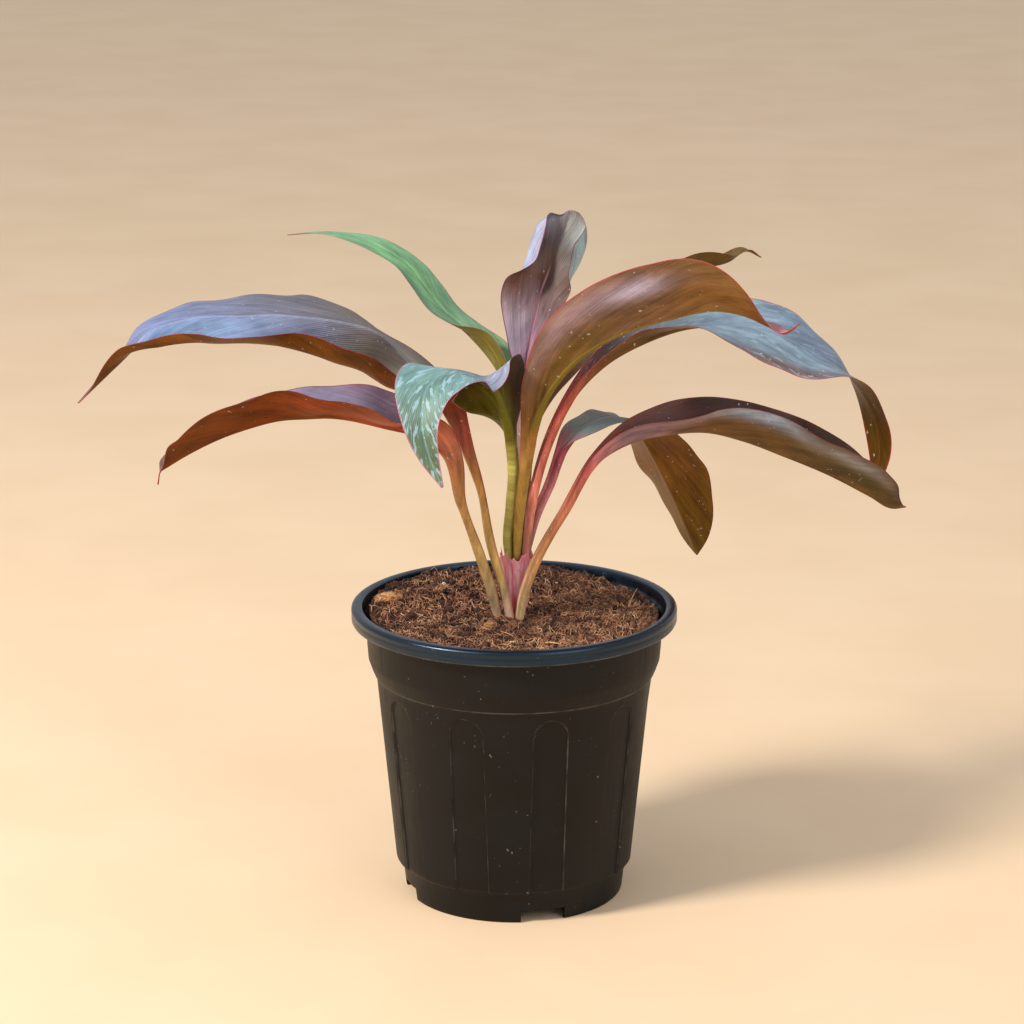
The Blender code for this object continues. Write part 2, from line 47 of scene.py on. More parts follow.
FLUTES = 10
FIRST_FLUTE = 15.5  # degrees right of the front
FLUTE_HALF = 8.1
FLUTE_DEPTH = 0.95
FLUTE_TOP = 100.5
FOOT_RADIUS = 50.4
NOTCH_WIDTH = 20.7
NOTCH_HEIGHT = 6.0
FIRST_NOTCH = 15.3  # degrees right of the front
FLOOR_BOTTOM = 10.2
FLOOR_TOP = 12.0
FLOOR_RADIUS = 49.6
DRAIN_RADIUS = 4.5
DRAIN_CIRCLE = 33.0
SOIL_TOP = 131.4
SOIL_BANK = 3.8
SOIL_REACH = 66.6
SOIL_RINGS = 120
SOIL_SIDES = 330
STEM_AXIS = (0.8, -0.2)
STEM_RADIUS = 4.4
STEM_BOTTOM = 116.0
STEM_TOP = 158.5
STEM_RED = 137  # height of the red part of the stem
SHEATH_BOTTOM = 135.5
SHEATH_TOP = 164.5
SHEATH_WALL = 0.22
LEAF_ROWS = 190
LEAF_COLUMNS = 18  # on each side of the midrib
BLADE_THICKNESS = 0.5
PETIOLE_THICKNESS = 1.3
PETIOLE_HALF = 2.3
PETIOLE_FOLD = 40
PETIOLE_CURL = 20

# Each leaf: heading in degrees from +X, the petiole's centre points from the base up, the half width at
# those points, and the blade's stations from its base to its tip. A station is x, y, z, half width, the
# left half's angle and curl, the right half's angle and curl, and the roll about the midrib. Angles
# are measured from flat towards the upper side.
LEAVES = {
    "leaf_upper_left": (
        198,
        [(-1.6, -7.6, 132), (-4.4, -8.2, 146), (-10, -9, 166), (-17, -11, 201)],
        [2.0, 2.2, 2.3, 2.5],
        [
            (-23, -11, 214, 5, 60, 10, 60, 10, 0), (-30.5, -11, 229, 10, 60, 10, 60, 10, 0),
            (-38.5, -12, 242, 19, -20, 95, 30, 0, 0), (-48, -15, 255.5, 29, -78, 130, 8, 0, 0),
            (-61, -23, 270, 32.5, -85, 140, 3, 0, 0), (-76, -28, 275.5, 31.5, -84, 142, 6, 0, 0),
            (-90, -33, 278.5, 28.5, -80, 150, 8, 0, 0), (-105, -37, 280.5, 26, -60, 112, 12, 0, 0),
            (-118, -41, 281, 24, -50, 85, 10, 0, 0), (-140, -48, 281.5, 20, -60, 110, 2, 0, 0),
            (-160, -54, 275.5, 14, -60, 140, 5, 0, 0), (-168.5, -57, 266.5, 10, 25, 50, 5, 0, 0),
            (-175.5, -59, 260, 7, 50, 10, 0, 0, 0), (-189.5, -63, 247, 0.6, 0, 0, 0, 0, 0),
        ],
    ),
    "leaf_lower_left": (
        215,
        [(-7.4, -4.2, 132.45), (-9.4, -6.6, 142), (-15, -14, 163), (-24, -22, 192)],
        [2.0, 2.2, 2.3, 2.4],
        [
            (-29.5, -29, 213, 7, 65, 10, 65, 10, 0), (-39.5, -36, 224.5, 13, 45, 10, 55, 10, 0),
            (-58, -47, 233, 18, 12, 10, 62, 0, 0), (-81, -62, 240.5, 16.5, 31, 8, 40, 0, 0),
            (-91, -68.5, 241.5, 16.5, 34, 5, 42, 0, 0), (-100, -74, 242, 16.5, 60, 5, 34, 0, 0),
            (-113.5, -84.5, 241, 16.5, 66, 5, 22, 0, 0), (-125, -92, 238.5, 15, 66, 10, 14, 0, 0),
            (-140.5, -101, 232.5, 11, 68, 0, 10, 0, 0), (-147.5, -105.3, 229, 6, 62, 0, 10, 0, 0),
            (-149.5, -106.5, 228, 1.3, 40, 0, 20, 0, 0), (-151, -107, 222, 0.5, 20, 0, 20, 0, 0),
        ],
    ),
    "leaf_lower_right": (
        20,
        [(2, -8.9, 131.9), (3.6, -9.2, 142), (8, -9.6, 156), (23, -11, 185)],
        [2.0, 2.2, 2.3, 2.3],
        [
            (39, -12, 210, 4, 60, 20, 60, 20, 0), (52.5, -10, 217, 9, 60, 10, 50, 10, 0),
            (69, -5, 219.5, 13.5, 55, 10, 30, 10, 0), (86, 4, 218, 16, 60, 15, 50, 15, 0),
            (104, 15, 211, 18.5, 70, 0, 60, 10, 0), (126, 28, 199.5, 19.5, 78, 0, 50, 10, 0),
            (149, 42, 186.5, 18, 76, 0, 52, 10, 0), (168, 51, 174.5, 14.5, 62, 0, 60, 10, 0),
            (179, 56, 167.5, 8.5, 55, 0, 55, 10, 0), (186, 59, 167.5, 0.6, 0, 0, 0, 0, 0),
        ],
    ),
    "leaf_upper_right": (
        22,
        [(4.4, -1.9, 158.2), (5.3, -2, 165), (7.6, 0.8, 183), (11, 6, 198), (16, 12, 212)],
        [1.3, 1.6, 2.2, 2.3, 2.6],
        [
            (27, 20, 231.5, 3.4, 50, 10, 50, 10, 0), (40, 28, 243, 7, 40, 0, 45, 0, 0),
            (60, 37, 252.5, 12.5, 30, 0, 40, 0, 0), (79.5, 44, 257.5, 16, 10, 0, 25, 0, -10),
            (99.5, 50, 257.5, 19.5, -3, 0, 2, 0, -28), (120, 55, 253, 22, -6, 0, 0, 0, -38),
            (140, 61, 242, 21.5, -4, 0, 8, 0, -38), (157.5, 66, 230, 14, 5, 0, 12, 0, -15),
            (170, 70, 211, 8, 0, 0, 5, 0, 20), (174.5, 74, 189.5, 5.5, 0, 0, 5, 0, 40),
            (171.5, 76, 167.5, 0.6, 0, 0, 0, 0, 40),
        ],
    ),
    "leaf_front_right": (
        322,
        [(1, -2.9, 158.2), (1.2, -4, 165), (2.4, -10, 184), (5.2, -15, 205)],
        [1.3, 1.6, 2.2, 3.0],
        [
            (8, -19, 221, 5.5, 20, 10, 60, 10, 0), (15, -29, 243, 13, 5, 0, 60, 10, 0),
            (28, -38, 261, 21.5, 10, 0, 60, 15, 0), (46, -48, 274, 26, 25, 0, 60, 20, 0),
            (68, -58, 283, 27.5, 25, 0, 62, 22, 0), (88, -69, 289, 24, -5, 0, 62, 14, 0),
            (99, -75, 288, 17, -20, 0, 56, 4, 0), (108, -81, 285, 8, -5, 0, 40, 0, 0),
            (115, -87, 283, 3.2, 10, 0, 10, 0, 0), (121, -90, 288, 0.6, 0, 0, 0, 0, 0),
        ],
    ),
    "leaf_back_left": (
        137,
        [(-1.1, 2.6, 158.2), (-1.3, 3.7, 165), (0, 7, 190), (0, 9.5, 208)],
        [1.3, 1.6, 2.1, 2.3],
        [
            (-1, 12, 228.5, 4, 60, 10, 60, 10, 0), (-6.5, 17, 243, 9, 75, 0, 45, 0, 0),
            (-14, 24, 252, 11.5, 70, 0, 18, 0, 0), (-23, 32, 260, 10, 15, 20, 5, 0, 0),
            (-33, 41, 267, 9.5, -5, 30, 0, 0, 0), (-41, 50, 275.5, 10, -5, 30, 0, 0, 0),
            (-49.5, 62, 283.5, 10, -5, 30, 0, 0, 0), (-60.5, 72, 289, 9.5, -5, 25, 0, 0, 0),
            (-77.5, 84, 293, 8, 0, 0, 0, 0, 0), (-93, 94, 293, 3.6, 0, 0, 0, 0, 0),
            (-108, 101, 290.5, 0.6, 0, 0, 0, 0, 0),
        ],
    ),
    "leaf_centre": (
        80,
        [(1.5, 0.6, 158.2), (2, 1.2, 165), (3, 2.5, 190), (4, 4, 215)],
        [1.3, 1.6, 2.1, 2.4],
        [
            (4, 6, 240, 4, 60, 10, 60, 10, 0), (6.5, 7, 257, 12, 48, 0, 58, 0, 0),
            (9.5, 8, 270, 17.5, 36, 0, 50, 0, 0), (12.5, 9, 282.5, 20.5, 44, 0, 46, 0, 0),
            (14.5, 9.5, 288, 20.5, 38, 55, 34, 20, 0), (16.5, 10, 293.5, 20.5, 18, 120, 14, 85, 0),
            (19, 10.5, 300.5, 21.5, 0, 146, 0, 130, 0), (21.5, 11.5, 306.5, 21, 0, 140, 0, 136, 0),
            (23.5, 12.2, 311, 17, 0, 116, 0, 108, 0), (24.5, 12.8, 314, 12, 0, 84, 0, 74, 0),
            (25, 13.2, 316, 6, 0, 45, 0, 40, 0), (24.5, 13.5, 318, 0.6, 0, 15, 0, 15, 0),
        ],
    ),
    "leaf_front": (
        254,
        [(-2.1, -1.5, 158.2), (-3, -2, 165), (-1.5, -6, 185), (-0.5, -11, 205)],
        [1.3, 1.6, 2.1, 2.4],
        [
            (-2, -16, 220, 5, 65, 10, 40, 10, 0), (-5, -23, 234, 16, 64, 0, -6, 0, 0),
            (-9, -31, 246, 20, 57, 5, -12, 0, 0), (-13, -36.5, 251.5, 13.5, 34, 0, -8, 0, 0),
            (-16, -40.5, 254.5, 15, -22, 0, -4, 0, 0), (-20.5, -45, 257, 19.5, -28, 0, 0, 0, 0),
            (-29.5, -55, 259.5, 20.5, -5, 0, 0, 0, 0), (-38, -66, 254, 14.5, 10, 0, 10, 0, 0),
            (-40, -74, 242, 9, 10, 0, 10, 0, 0), (-37, -79, 228, 5.2, 10, 0, 10, 0, 0),
            (-31, -82, 214, 0.6, 0, 0, 0, 0, 0),
        ],
    ),
    "leaf_back_right": (
        42,
        [(2.7, 4, 158.2), (3.2, 5.6, 165), (5, 9, 190), (8, 13, 214)],
        [1.3, 1.6, 2.1, 2.3],
        [
            (12, 16, 230.5, 6, 50, 0, 50, 0, 0), (21, 24, 252, 11, 40, 0, 50, 0, 0),
            (35, 39, 263.5, 12, 30, 0, 55, 0, 0), (52, 56, 271, 12, 30, 0, 55, 0, 0),
            (71, 76, 273.5, 12, 28, 0, 58, 0, 0), (88, 92, 276, 10, 24, 0, 58, 0, 0),
            (102.5, 101, 277.5, 6.5, 18, 0, 46, 0, 0), (111.5, 105, 282, 3, 20, 0, 20, 0, 0),
            (118.5, 107, 278.5, 0.6, 0, 0, 0, 0, 0),
        ],
    ),
    "leaf_small_right": (
        42,
        [(4.9, 1.2, 158.2), (6.4, 1.9, 165), (10, 5.5, 178), (16, 10, 191)],
        [1.3, 1.6, 2.1, 2.3],
        [
            (22, 15, 205.5, 3.5, 40, 10, 40, 10, 0), (28.5, 20, 213, 8, 15, 0, 0, 0, 0),
            (37, 29, 216.5, 11, 0, 0, 0, 0, 0), (47.5, 40, 216, 14, 5, 0, 5, 0, 0),
            (58, 51, 206, 19, 15, 0, 18, 0, 0), (67, 60, 189.5, 22, 14, 0, 27, 0, 0),
            (76, 66, 170, 20, 14, 0, 30, 0, 0), (84.5, 71, 149, 10, 14, 0, 22, 0, 0),
            (88, 74, 139.5, 0.6, 0, 0, 0, 0, 0),
        ],
    ),
}

# How each leaf looks. A paint row is the place along the leaf (-1 at the petiole's foot, 0 where the blade
# starts, 1 at the tip) and the colours of its upper left, upper right, lower left and lower right quarters,
# or of its upper and lower sides where left and right are alike.
# A wave is a height in mm, a length in mm and a shift: the margins ripple by the sum of a leaf's waves.
# Rib is the midrib's colour above and below.
# The blue and blue-violet tints in the paint rows and bands are a painted reflection of a bluish sky on the
# glossy leaves.
LOOKS = {
    "leaf_upper_left": dict(
        slot="leaf_violet", gloss=0.36, margin=(150, 44, 56), rib=((168, 178, 206), (124, 70, 26)), seed=1,
        waves=((1.1, 62, 0.4), (0.5, 27, 1.0)), margin_width=0.6, rib_strength=0.35,
        bands=(
            ("up", 0.19, 0.05, 0.35, 0.3, 1, (156, 148, 126), 0.85),
            ("up", 0.29, 0.06, 0.55, 0.3, 1, (84, 70, 44), 0.8),
            ("up", 0.27, 0.07, 0.95, 0.2, 1, (130, 56, 58), 0.9),
            ("up", 0.50, 0.08, 0.75, 0.2, 1, (96, 96, 104), 0.5),
            ("up", 0.32, 0.08, 0.35, 0.4, -1, (96, 84, 66), 0.85),
            ("up", 0.19, 0.05, 0.4, 0.4, -1, (156, 148, 126), 0.8),
            ("up", 0.7, 0.12, 0.25, 0.2, -1, (140, 172, 206), 0.5),
        ),
        paint=[
            (-1.0, (240, 196, 176), (240, 196, 176)),
            (-0.75, (206, 176, 110), (206, 176, 110), (212, 180, 110), (204, 170, 102)),
            (-0.15, (164, 116, 62), (164, 116, 62), (170, 118, 62), (160, 108, 58)),
            (0.02, (140, 70, 56), (140, 70, 56), (142, 62, 46), (124, 60, 42)),
            (0.15, (118, 96, 84), (120, 102, 90), (124, 66, 30), (120, 68, 34)),
            (0.32, (112, 104, 112), (96, 82, 68), (112, 64, 10), (112, 64, 10)),
            (0.5, (122, 128, 158), (112, 110, 126), (112, 64, 6), (112, 64, 6)),
            (0.78, (118, 140, 184), (114, 128, 170), (108, 62, 6), (108, 62, 6)),
            (0.9, (110, 116, 150), (108, 106, 136), (100, 58, 8), (100, 58, 8)),
            (1.0, (106, 66, 36), (96, 56, 14)),
        ],
    ),
    "leaf_lower_left": dict(
        slot="leaf_brown", gloss=0.38, margin=(132, 48, 42), rib=((150, 140, 172), (122, 60, 16)), seed=2,
        waves=((1.0, 54, 1.0), (0.5, 23, 0.2)), margin_width=0.6,
        bands=(
            ("down", 0.5, 0.1, 0.75, 0.3, -1, (156, 62, 22), 0.5),
            ("down", 0.3, 0.08, 0.4, 0.3, 0, (170, 62, 26), 0.6),
            ("up", 0.3, 0.1, 0.9, 0.2, 1, (122, 80, 100), 0.5),
        ),
        paint=[
            (-1.0, (222, 186, 150), (220, 184, 146)), (-0.6, (204, 170, 110), (202, 168, 102)),
            (-0.1, (170, 112, 72), (170, 112, 68)), (0.04, (170, 92, 72), (178, 106, 82)),
            (0.2, (134, 104, 120), (142, 116, 134), (162, 74, 44), (152, 68, 40)),
            (0.4, (132, 126, 152), (136, 128, 154), (128, 58, 8), (128, 58, 8)),
            (0.7, (122, 110, 130), (104, 48, 2)), (1.0, (112, 70, 50), (108, 54, 12)),
        ],
    ),
    "leaf_lower_right": dict(
        slot="leaf_violet", gloss=0.36, margin=(118, 44, 40), rib=((140, 130, 140), (120, 92, 56)), seed=3,
        specks=0.6, waves=((1.2, 66, 2.0), (0.6, 31, 0.5)), margin_width=0.5,
        bands=(
            ("down", 0.12, 0.07, 0.6, 0.5, 1, (136, 112, 128), 0.7),
            # Painted highlights: the grey band and the blue-white band near the margin on the lower side.
            ("down", 0.74, 0.16, 0.75, 0.18, 1, (152, 148, 150), 0.7),
            ("down", 0.42, 0.14, 0.86, 0.18, 1, (160, 172, 194), 1.0),
            ("down", 0.6, 0.3, 0.12, 0.14, 1, (112, 80, 46), 0.5),
            ("down", 0.8, 0.12, 0.4, 0.2, 1, (72, 66, 34), 0.5),
        ),
        paint=[
            (-1.0, (222, 196, 150), (222, 192, 140)),
            (-0.6, (214, 164, 108), (214, 164, 108), (214, 158, 98), (212, 150, 96)),
            (-0.1, (206, 96, 94), (206, 96, 94), (208, 92, 92), (208, 104, 100)),
            (0.08, (110, 52, 40), (128, 100, 108), (140, 84, 80), (140, 104, 108)),
            (0.3, (64, 22, 6), (132, 140, 158), (112, 70, 46), (108, 72, 36)),
            (0.6, (56, 20, 4), (134, 146, 166), (98, 68, 26), (94, 70, 28)),
            (1.0, (72, 40, 26), (124, 118, 118), (88, 60, 26), (92, 68, 32)),
        ],
    ),
    "leaf_upper_right": dict(
        slot="leaf_violet", gloss=0.34, margin=(178, 52, 70), rib=((134, 150, 170), (112, 74, 26)), seed=4,
        specks=0.7, waves=((1.0, 58, 0.0), (0.4, 25, 0.9)),
        flecks=(((1.0, 0.22), (176, 196, 214), 0.55, 0.56, 0.68, 0.4),),
        bands=(
            ("up", 0.5, 0.25, 0.88, 0.2, 1, (106, 74, 60), 0.9),
            ("up", 0.62, 0.1, 0.3, 0.3, -1, (112, 122, 156), 0.6),
        ),
        paint=[
            (-1.0, (240, 186, 164), (236, 166, 140)), (-0.5, (222, 132, 104), (220, 122, 96)),
            (-0.05, (200, 92, 80), (200, 92, 80), (188, 88, 70), (190, 94, 72)),
            (0.12, (116, 88, 84), (116, 88, 84), (112, 66, 34), (116, 80, 40)),
            (0.35, (140, 163, 180), (142, 165, 182), (96, 64, 14), (96, 68, 16)),
            (0.6, (126, 150, 172), (130, 152, 170), (92, 62, 8), (92, 62, 8)),
            (0.75, (104, 108, 120), (108, 106, 112), (90, 60, 8), (90, 60, 8)),
            (1.0, (96, 80, 56), (96, 80, 56), (96, 66, 16), (94, 64, 16)),
        ],
    ),
    "leaf_front_right": dict(
        slot="leaf_brown", gloss=0.36, margin=(168, 50, 64), rib=((150, 122, 92), (124, 112, 30)), seed=5,
        margin_width=0.6, waves=((0.5, 70, 0.6),),
        bands=(
            ("down", 0.28, 0.2, 0.2, 0.26, 1, (92, 66, 8), 0.92),
            ("down", 0.36, 0.14, 0.74, 0.2, 1, (150, 122, 124), 0.8),
            ("down", 0.18, 0.08, 0.8, 0.25, 1, (120, 92, 84), 0.6),
            # Painted highlight: the pale blue-violet band along the near margin is sheen where the blade
            # curves into the light.
            ("down", 0.55, 0.1, 0.66, 0.14, 1, (158, 150, 172), 0.75),
            ("down", 0.72, 0.1, 0.4, 0.3, 1, (104, 66, 18), 0.6),
            ("down", 0.2, 0.12, 0.6, 0.5, -1, (70, 34, 12), 0.8),
        ),
        paint=[
            (-1.0, (190, 156, 88), (184, 152, 76)), (-0.4, (168, 130, 64), (170, 132, 62)),
            (0.0, (150, 92, 56), (150, 92, 56), (160, 108, 50), (146, 104, 50)),
            (0.12, (92, 42, 24), (92, 42, 24), (92, 44, 20), (126, 88, 50)),
            (0.3, (80, 38, 20), (80, 38, 20), (82, 40, 20), (108, 78, 60)),
            (0.55, (80, 38, 20), (80, 38, 20), (82, 42, 22), (104, 72, 50)),
            (0.8, (88, 42, 24), (88, 42, 24), (92, 50, 20), (112, 78, 38)),
            (0.94, (196, 120, 130), (190, 110, 120), (120, 56, 34), (124, 60, 36)),
            (1.0, (220, 160, 160), (160, 84, 40)),
        ],
    ),
    "leaf_back_left": dict(
        slot="leaf_green", gloss=0.42, margin=(146, 96, 84), rib=((126, 176, 128), (112, 106, 44)), seed=6,
        margin_width=0.6, rib_strength=0.35, waves=((0.5, 48, 0.3),), specks=0.25,
        bands=(
            ("up", 0.86, 0.1, 0.5, 0.5, 1, (132, 176, 150), 0.5),
            ("up", 0.5, 0.12, 0.15, 0.2, 0, (100, 140, 88), 0.5),
        ),
        paint=[
            (-1.0, (158, 158, 84), (146, 138, 64)), (0.0, (124, 146, 96), (112, 104, 36)),
            (0.25, (114, 152, 118), (106, 94, 34)),
            (0.5, (104, 152, 106), (108, 154, 110), (104, 86, 34), (104, 86, 34)),
            (0.9, (118, 172, 124), (100, 80, 34)), (1.0, (130, 110, 80), (106, 80, 46)),
        ],
    ),
    "leaf_centre": dict(
        slot="leaf_violet", gloss=0.36, margin=(130, 46, 66), rib=((216, 160, 178), (150, 150, 160)), seed=7,
        specks=0.6, waves=((0.9, 36, 1.4),), margin_width=0.8, rib_end=0.72,
        bands=(
            ("up", 0.52, 0.08, 0.7, 0.3, -1, (110, 58, 22), 0.7),
            ("up", 0.36, 0.12, 0.85, 0.2, 1, (88, 58, 52), 0.6),
            ("up", 0.3, 0.12, 0.4, 0.3, -1, (222, 206, 224), 0.7),
            # Painted reflection: the pale blue-grey bands on the rolled wings at the tip are a bluish sky
            # reflecting off the glossy blade.
            ("up", 0.88, 0.08, 0.75, 0.6, 1, (170, 182, 184), 0.95),
            ("up", 0.9, 0.1, 0.85, 0.6, -1, (176, 172, 194), 0.9),
        ),
        paint=[
            (-1.0, (178, 146, 92), (178, 146, 92)),
            (0.0, (205, 188, 200), (196, 174, 176), (140, 130, 120), (140, 130, 120)),
            (0.2, (224, 208, 232), (164, 130, 146), (150, 150, 164), (150, 150, 164)),
            (0.4, (200, 174, 184), (114, 92, 96), (158, 160, 184), (172, 178, 192)),
            (0.6, (116, 82, 68), (106, 84, 78), (154, 158, 186), (182, 196, 198)),
            (0.8, (88, 66, 58), (92, 78, 72), (154, 158, 184), (158, 178, 182)),
            (1.0, (104, 96, 90), (104, 96, 90), (158, 160, 182), (150, 166, 168)),
        ],
    ),
    "leaf_front": dict(
        slot="leaf_violet", gloss=0.38, margin=(168, 108, 136), rib=((120, 160, 158), (124, 122, 34)), seed=8,
        waves=((0.8, 40, 0.0), (0.4, 19, 1.1)), rib_strength=0.45,
        flecks=(((1.0, 0.3), (166, 206, 224), 0.6, 0.52, 0.64, 0.5),),
        bands=(
            ("up", 0.32, 0.12, 0.6, 0.5, -1, (150, 150, 176), 0.95),
            ("up", 0.84, 0.12, 0.5, 0.6, 0, (80, 98, 72), 0.85),
            ("up", 0.62, 0.1, 0.2, 0.25, 0, (104, 140, 122), 0.4),
            ("down", 0.14, 0.1, 0.15, 0.16, 0, (96, 96, 16), 0.8),
        ),
        paint=[
            (-1.0, (190, 180, 100), (190, 188, 104)),
            (-0.3, (178, 182, 100), (178, 182, 100), (182, 186, 96), (196, 176, 96)),
            (0.0, (120, 120, 60), (120, 120, 60), (92, 84, 20), (112, 104, 28)),
            (0.15, (104, 124, 116), (104, 124, 116), (56, 30, 2), (70, 64, 6)),
            (0.4, (112, 146, 152), (114, 150, 158), (58, 34, 2), (66, 54, 6)),
            (0.7, (100, 136, 132), (104, 140, 136), (72, 46, 12), (72, 46, 12)),
            (1.0, (84, 96, 64), (84, 58, 24)),
        ],
    ),
    "leaf_back_right": dict(
        slot="leaf_brown", gloss=0.42, margin=(128, 66, 34), rib=((112, 110, 60), (112, 96, 20)), seed=9,
        waves=((0.6, 52, 0.3),), specks=0.2, margin_width=0.5,
        bands=(("down", 0.75, 0.08, 0.5, 0.6, 0, (86, 74, 8), 0.6),),
        paint=[
            (-1.0, (214, 178, 120), (204, 166, 106)), (0.0, (116, 100, 54), (98, 72, 14)),
            (0.5, (100, 90, 50), (100, 90, 50), (82, 58, 6), (86, 62, 8)),
            (1.0, (96, 72, 32), (100, 70, 12)),
        ],
    ),
    "leaf_small_right": dict(
        slot="leaf_brown", gloss=0.38, margin=(126, 48, 40), rib=((140, 140, 138), (128, 84, 46)), seed=10,
        specks=0.4, waves=((1.0, 40, 2.0), (0.5, 21, 0.4)), margin_width=0.5,
        bands=(
            ("up", 0.28, 0.1, 0.4, 0.9, 0, (84, 60, 52), 0.85),
            # Painted highlight: the blue-grey band on the upper side.
            ("up", 0.5, 0.12, 0.6, 0.5, 1, (112, 112, 120), 0.6),
            ("down", 0.5, 0.07, 0.8, 0.2, -1, (130, 108, 118), 0.7),
        ),
        paint=[
            (-1.0, (206, 158, 152), (196, 140, 132)), (-0.4, (206, 134, 136), (202, 128, 130)),
            (-0.02, (194, 84, 104), (190, 86, 102)),
            (0.1, (112, 118, 112), (106, 122, 120), (120, 78, 54), (120, 78, 54)),
            (0.3, (104, 108, 98), (102, 116, 112), (130, 84, 36), (130, 84, 36)),
            (0.6, (100, 84, 66), (100, 84, 66), (124, 80, 28), (126, 82, 28)),
            (1.0, (94, 66, 34), (94, 66, 34), (112, 82, 20), (108, 80, 20)),
        ],
    ),
}
CHIPS = {
    "husk_chip_left": ((-58.0, 9.0), (6.5, 3.6, 2.6), 20, 3),
    "husk_chip_front": ((-11.0, -19.0), (3.4, 2.4, 1.7), 60, 5),
}


def srgb(red, green, blue):
    """Linear colour from the usual 0 to 255 values."""
    values = (red, green, blue)
    return tuple(((v / 255 + 0.055) / 1.055) ** 2.4 if v > 10 else v / 255 / 12.92 for v in values)


# ---- shader helpers ----


def add(tree, kind, settings=None, **inputs):
    """A shader node; an input whose value is a socket is linked to it."""
    made = tree.nodes.new("ShaderNode" + kind)
    for key, value in (settings or {}).items():
        setattr(made, key, value)
    for key, value in inputs.items():
        name = key.replace("_", " ")
        socket = made.inputs[int(name[1:])] if name[0] == "i" and name[1:].isdigit() else made.inputs[name]
        if isinstance(value, bpy.types.NodeSocket):
            tree.links.new(value, socket)
        else:
            socket.default_value = value
    return made


def maths(tree, operation, a, b=0.0, c=0.0):
    return add(tree, "Math", {"operation": operation}, i0=a, i1=b, i2=c).outputs[0]


def plus(tree, a, b):
    return maths(tree, "ADD", a, b)


def times(tree, a, b):
    return maths(tree, "MULTIPLY", a, b)


def ramp(tree, value, low, high, start=0.0, end=1.0):
    """Value between low and high, eased, as start to end."""
    settings = {"interpolation_type": "SMOOTHSTEP"}
    made = add(tree, "MapRange", settings, i0=value, i1=low, i2=high, i3=start, i4=end)
    return made.outputs[0]


def mix(tree, amount, a, b, blend="MIX"):
    made = add(tree, "Mix", {"data_type": "RGBA", "blend_type": blend})
    for index, value in ((0, amount), (6, a), (7, b)):
        if isinstance(value, bpy.types.NodeSocket):
            tree.links.new(value, made.inputs[index])
        elif index:
            made.inputs[index].default_value = (*value[:3], 1.0)
        else:
            made.inputs[index].default_value = value
    return made.outputs[2]


def noise(tree, vector, scale, detail=3.0, roughness=0.5):
    made = add(tree, "TexNoise", None, Vector=vector, Scale=scale, Detail=detail, Roughness=roughness)
    return made.outputs["Fac"]


def object_place(tree):
    return add(tree, "TexCoord").outputs["Object"]


def squeezed(tree, vector, height):
    """A place whose height counts less, so that a pattern read there is drawn out upwards."""
    return add(tree, "Mapping", None, Vector=vector, Scale=(1.0, 1.0, height)).outputs[0]


def combined(tree, x, y, z):
    return add(tree, "CombineXYZ", None, X=x, Y=y, Z=z).outputs[0]


def attribute(tree, name, output="Fac"):
    return add(tree, "Attribute", {"attribute_name": name}).outputs[output]


def new_material(name):
    made = bpy.data.materials.new(name)
    made.use_nodes = True
    return made, made.node_tree, made.node_tree.nodes["Principled BSDF"]


def bump(tree, shader, height, strength, distance_mm):
    made = add(tree, "Bump", None, Strength=strength, Distance=distance_mm * MM, Height=height)
    tree.links.new(made.outputs["Normal"], shader.inputs["Normal"])


def set_inputs(tree, shader, **values):
    for key, value in values.items():
        socket = shader.inputs[key.replace("_", " ")]
        if isinstance(value, bpy.types.NodeSocket):
            tree.links.new(value, socket)
        else:
            socket.default_value = (*value, 1.0) if isinstance(value, tuple) and len(value) == 3 else value


# ---- mesh helpers ----


def piece(name, points, faces, finish, replaced, slot, smooth=True, floats=None, colours=None):
    """A visible object from points in mm, riding on the plant's one body."""
    mesh = bpy.data.meshes.new(name)
    mesh.from_pydata((np.asarray(points, float) * MM).tolist(), [], faces)
    mesh.update()
    for key, values in (floats or {}).items():
        mesh.attributes.new(key, "FLOAT", "POINT").data.foreach_set("value", np.asarray(values, np.float32))
    for key, values in (colours or {}).items():
        flat = np.column_stack([values, np.ones(len(values))]).astype(np.float32).ravel()
        mesh.attributes.new(key, "FLOAT_COLOR", "POINT").data.foreach_set("color", flat)
    if smooth:
        mesh.shade_smooth()
    mesh.materials.append(finish)
    thing = bpy.data.objects.new(name, mesh)
    bpy.context.collection.objects.link(thing)
    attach(thing, "root")
    if replaced:
        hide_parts(*replaced)
    return thing


def unit(vectors):
    return vectors / np.linalg.norm(vectors, axis=-1, keepdims=True)


def smooth_rows(knots, rows, at):
    """Rows of numbers read at places between their knots, on a smooth curve through every row."""
    knots = np.asarray(knots, float)
    rows = np.asarray(rows, float)
    span = np.diff(knots)
    slope = np.diff(rows, axis=0) / span[:, None]
    tangent = np.empty_like(rows)
    tangent[0], tangent[-1] = slope[0], slope[-1]
    before, after = span[:-1, None], span[1:, None]
    tangent[1:-1] = (slope[:-1] * after + slope[1:] * before) / (before + after)
    k = np.clip(np.searchsorted(knots, at, side="right") - 1, 0, len(knots) - 2)
    t = ((at - knots[k]) / span[k])[:, None]
    width = span[k][:, None]
    start = (2 * t**3 - 3 * t**2 + 1) * rows[k] + (t**3 - 2 * t**2 + t) * width * tangent[k]
    end = (3 * t**2 - 2 * t**3) * rows[k + 1] + (t**3 - t**2) * width * tangent[k + 1]
    return start + end


def circle(radius, sides, centre=(0.0, 0.0)):
    """Points of a level circle, counter-clockwise from +X."""
    turns = [tau * i / sides for i in range(sides)]
    return [(centre[0] + radius * cos(turn), centre[1] + radius * sin(turn)) for turn in turns]


def band(low, high, sides):
    """Quads between two closed rings of points that start at the indices low and high."""
    return [(low + i, low + (i + 1) % sides, high + (i + 1) % sides, high + i) for i in range(sides)]


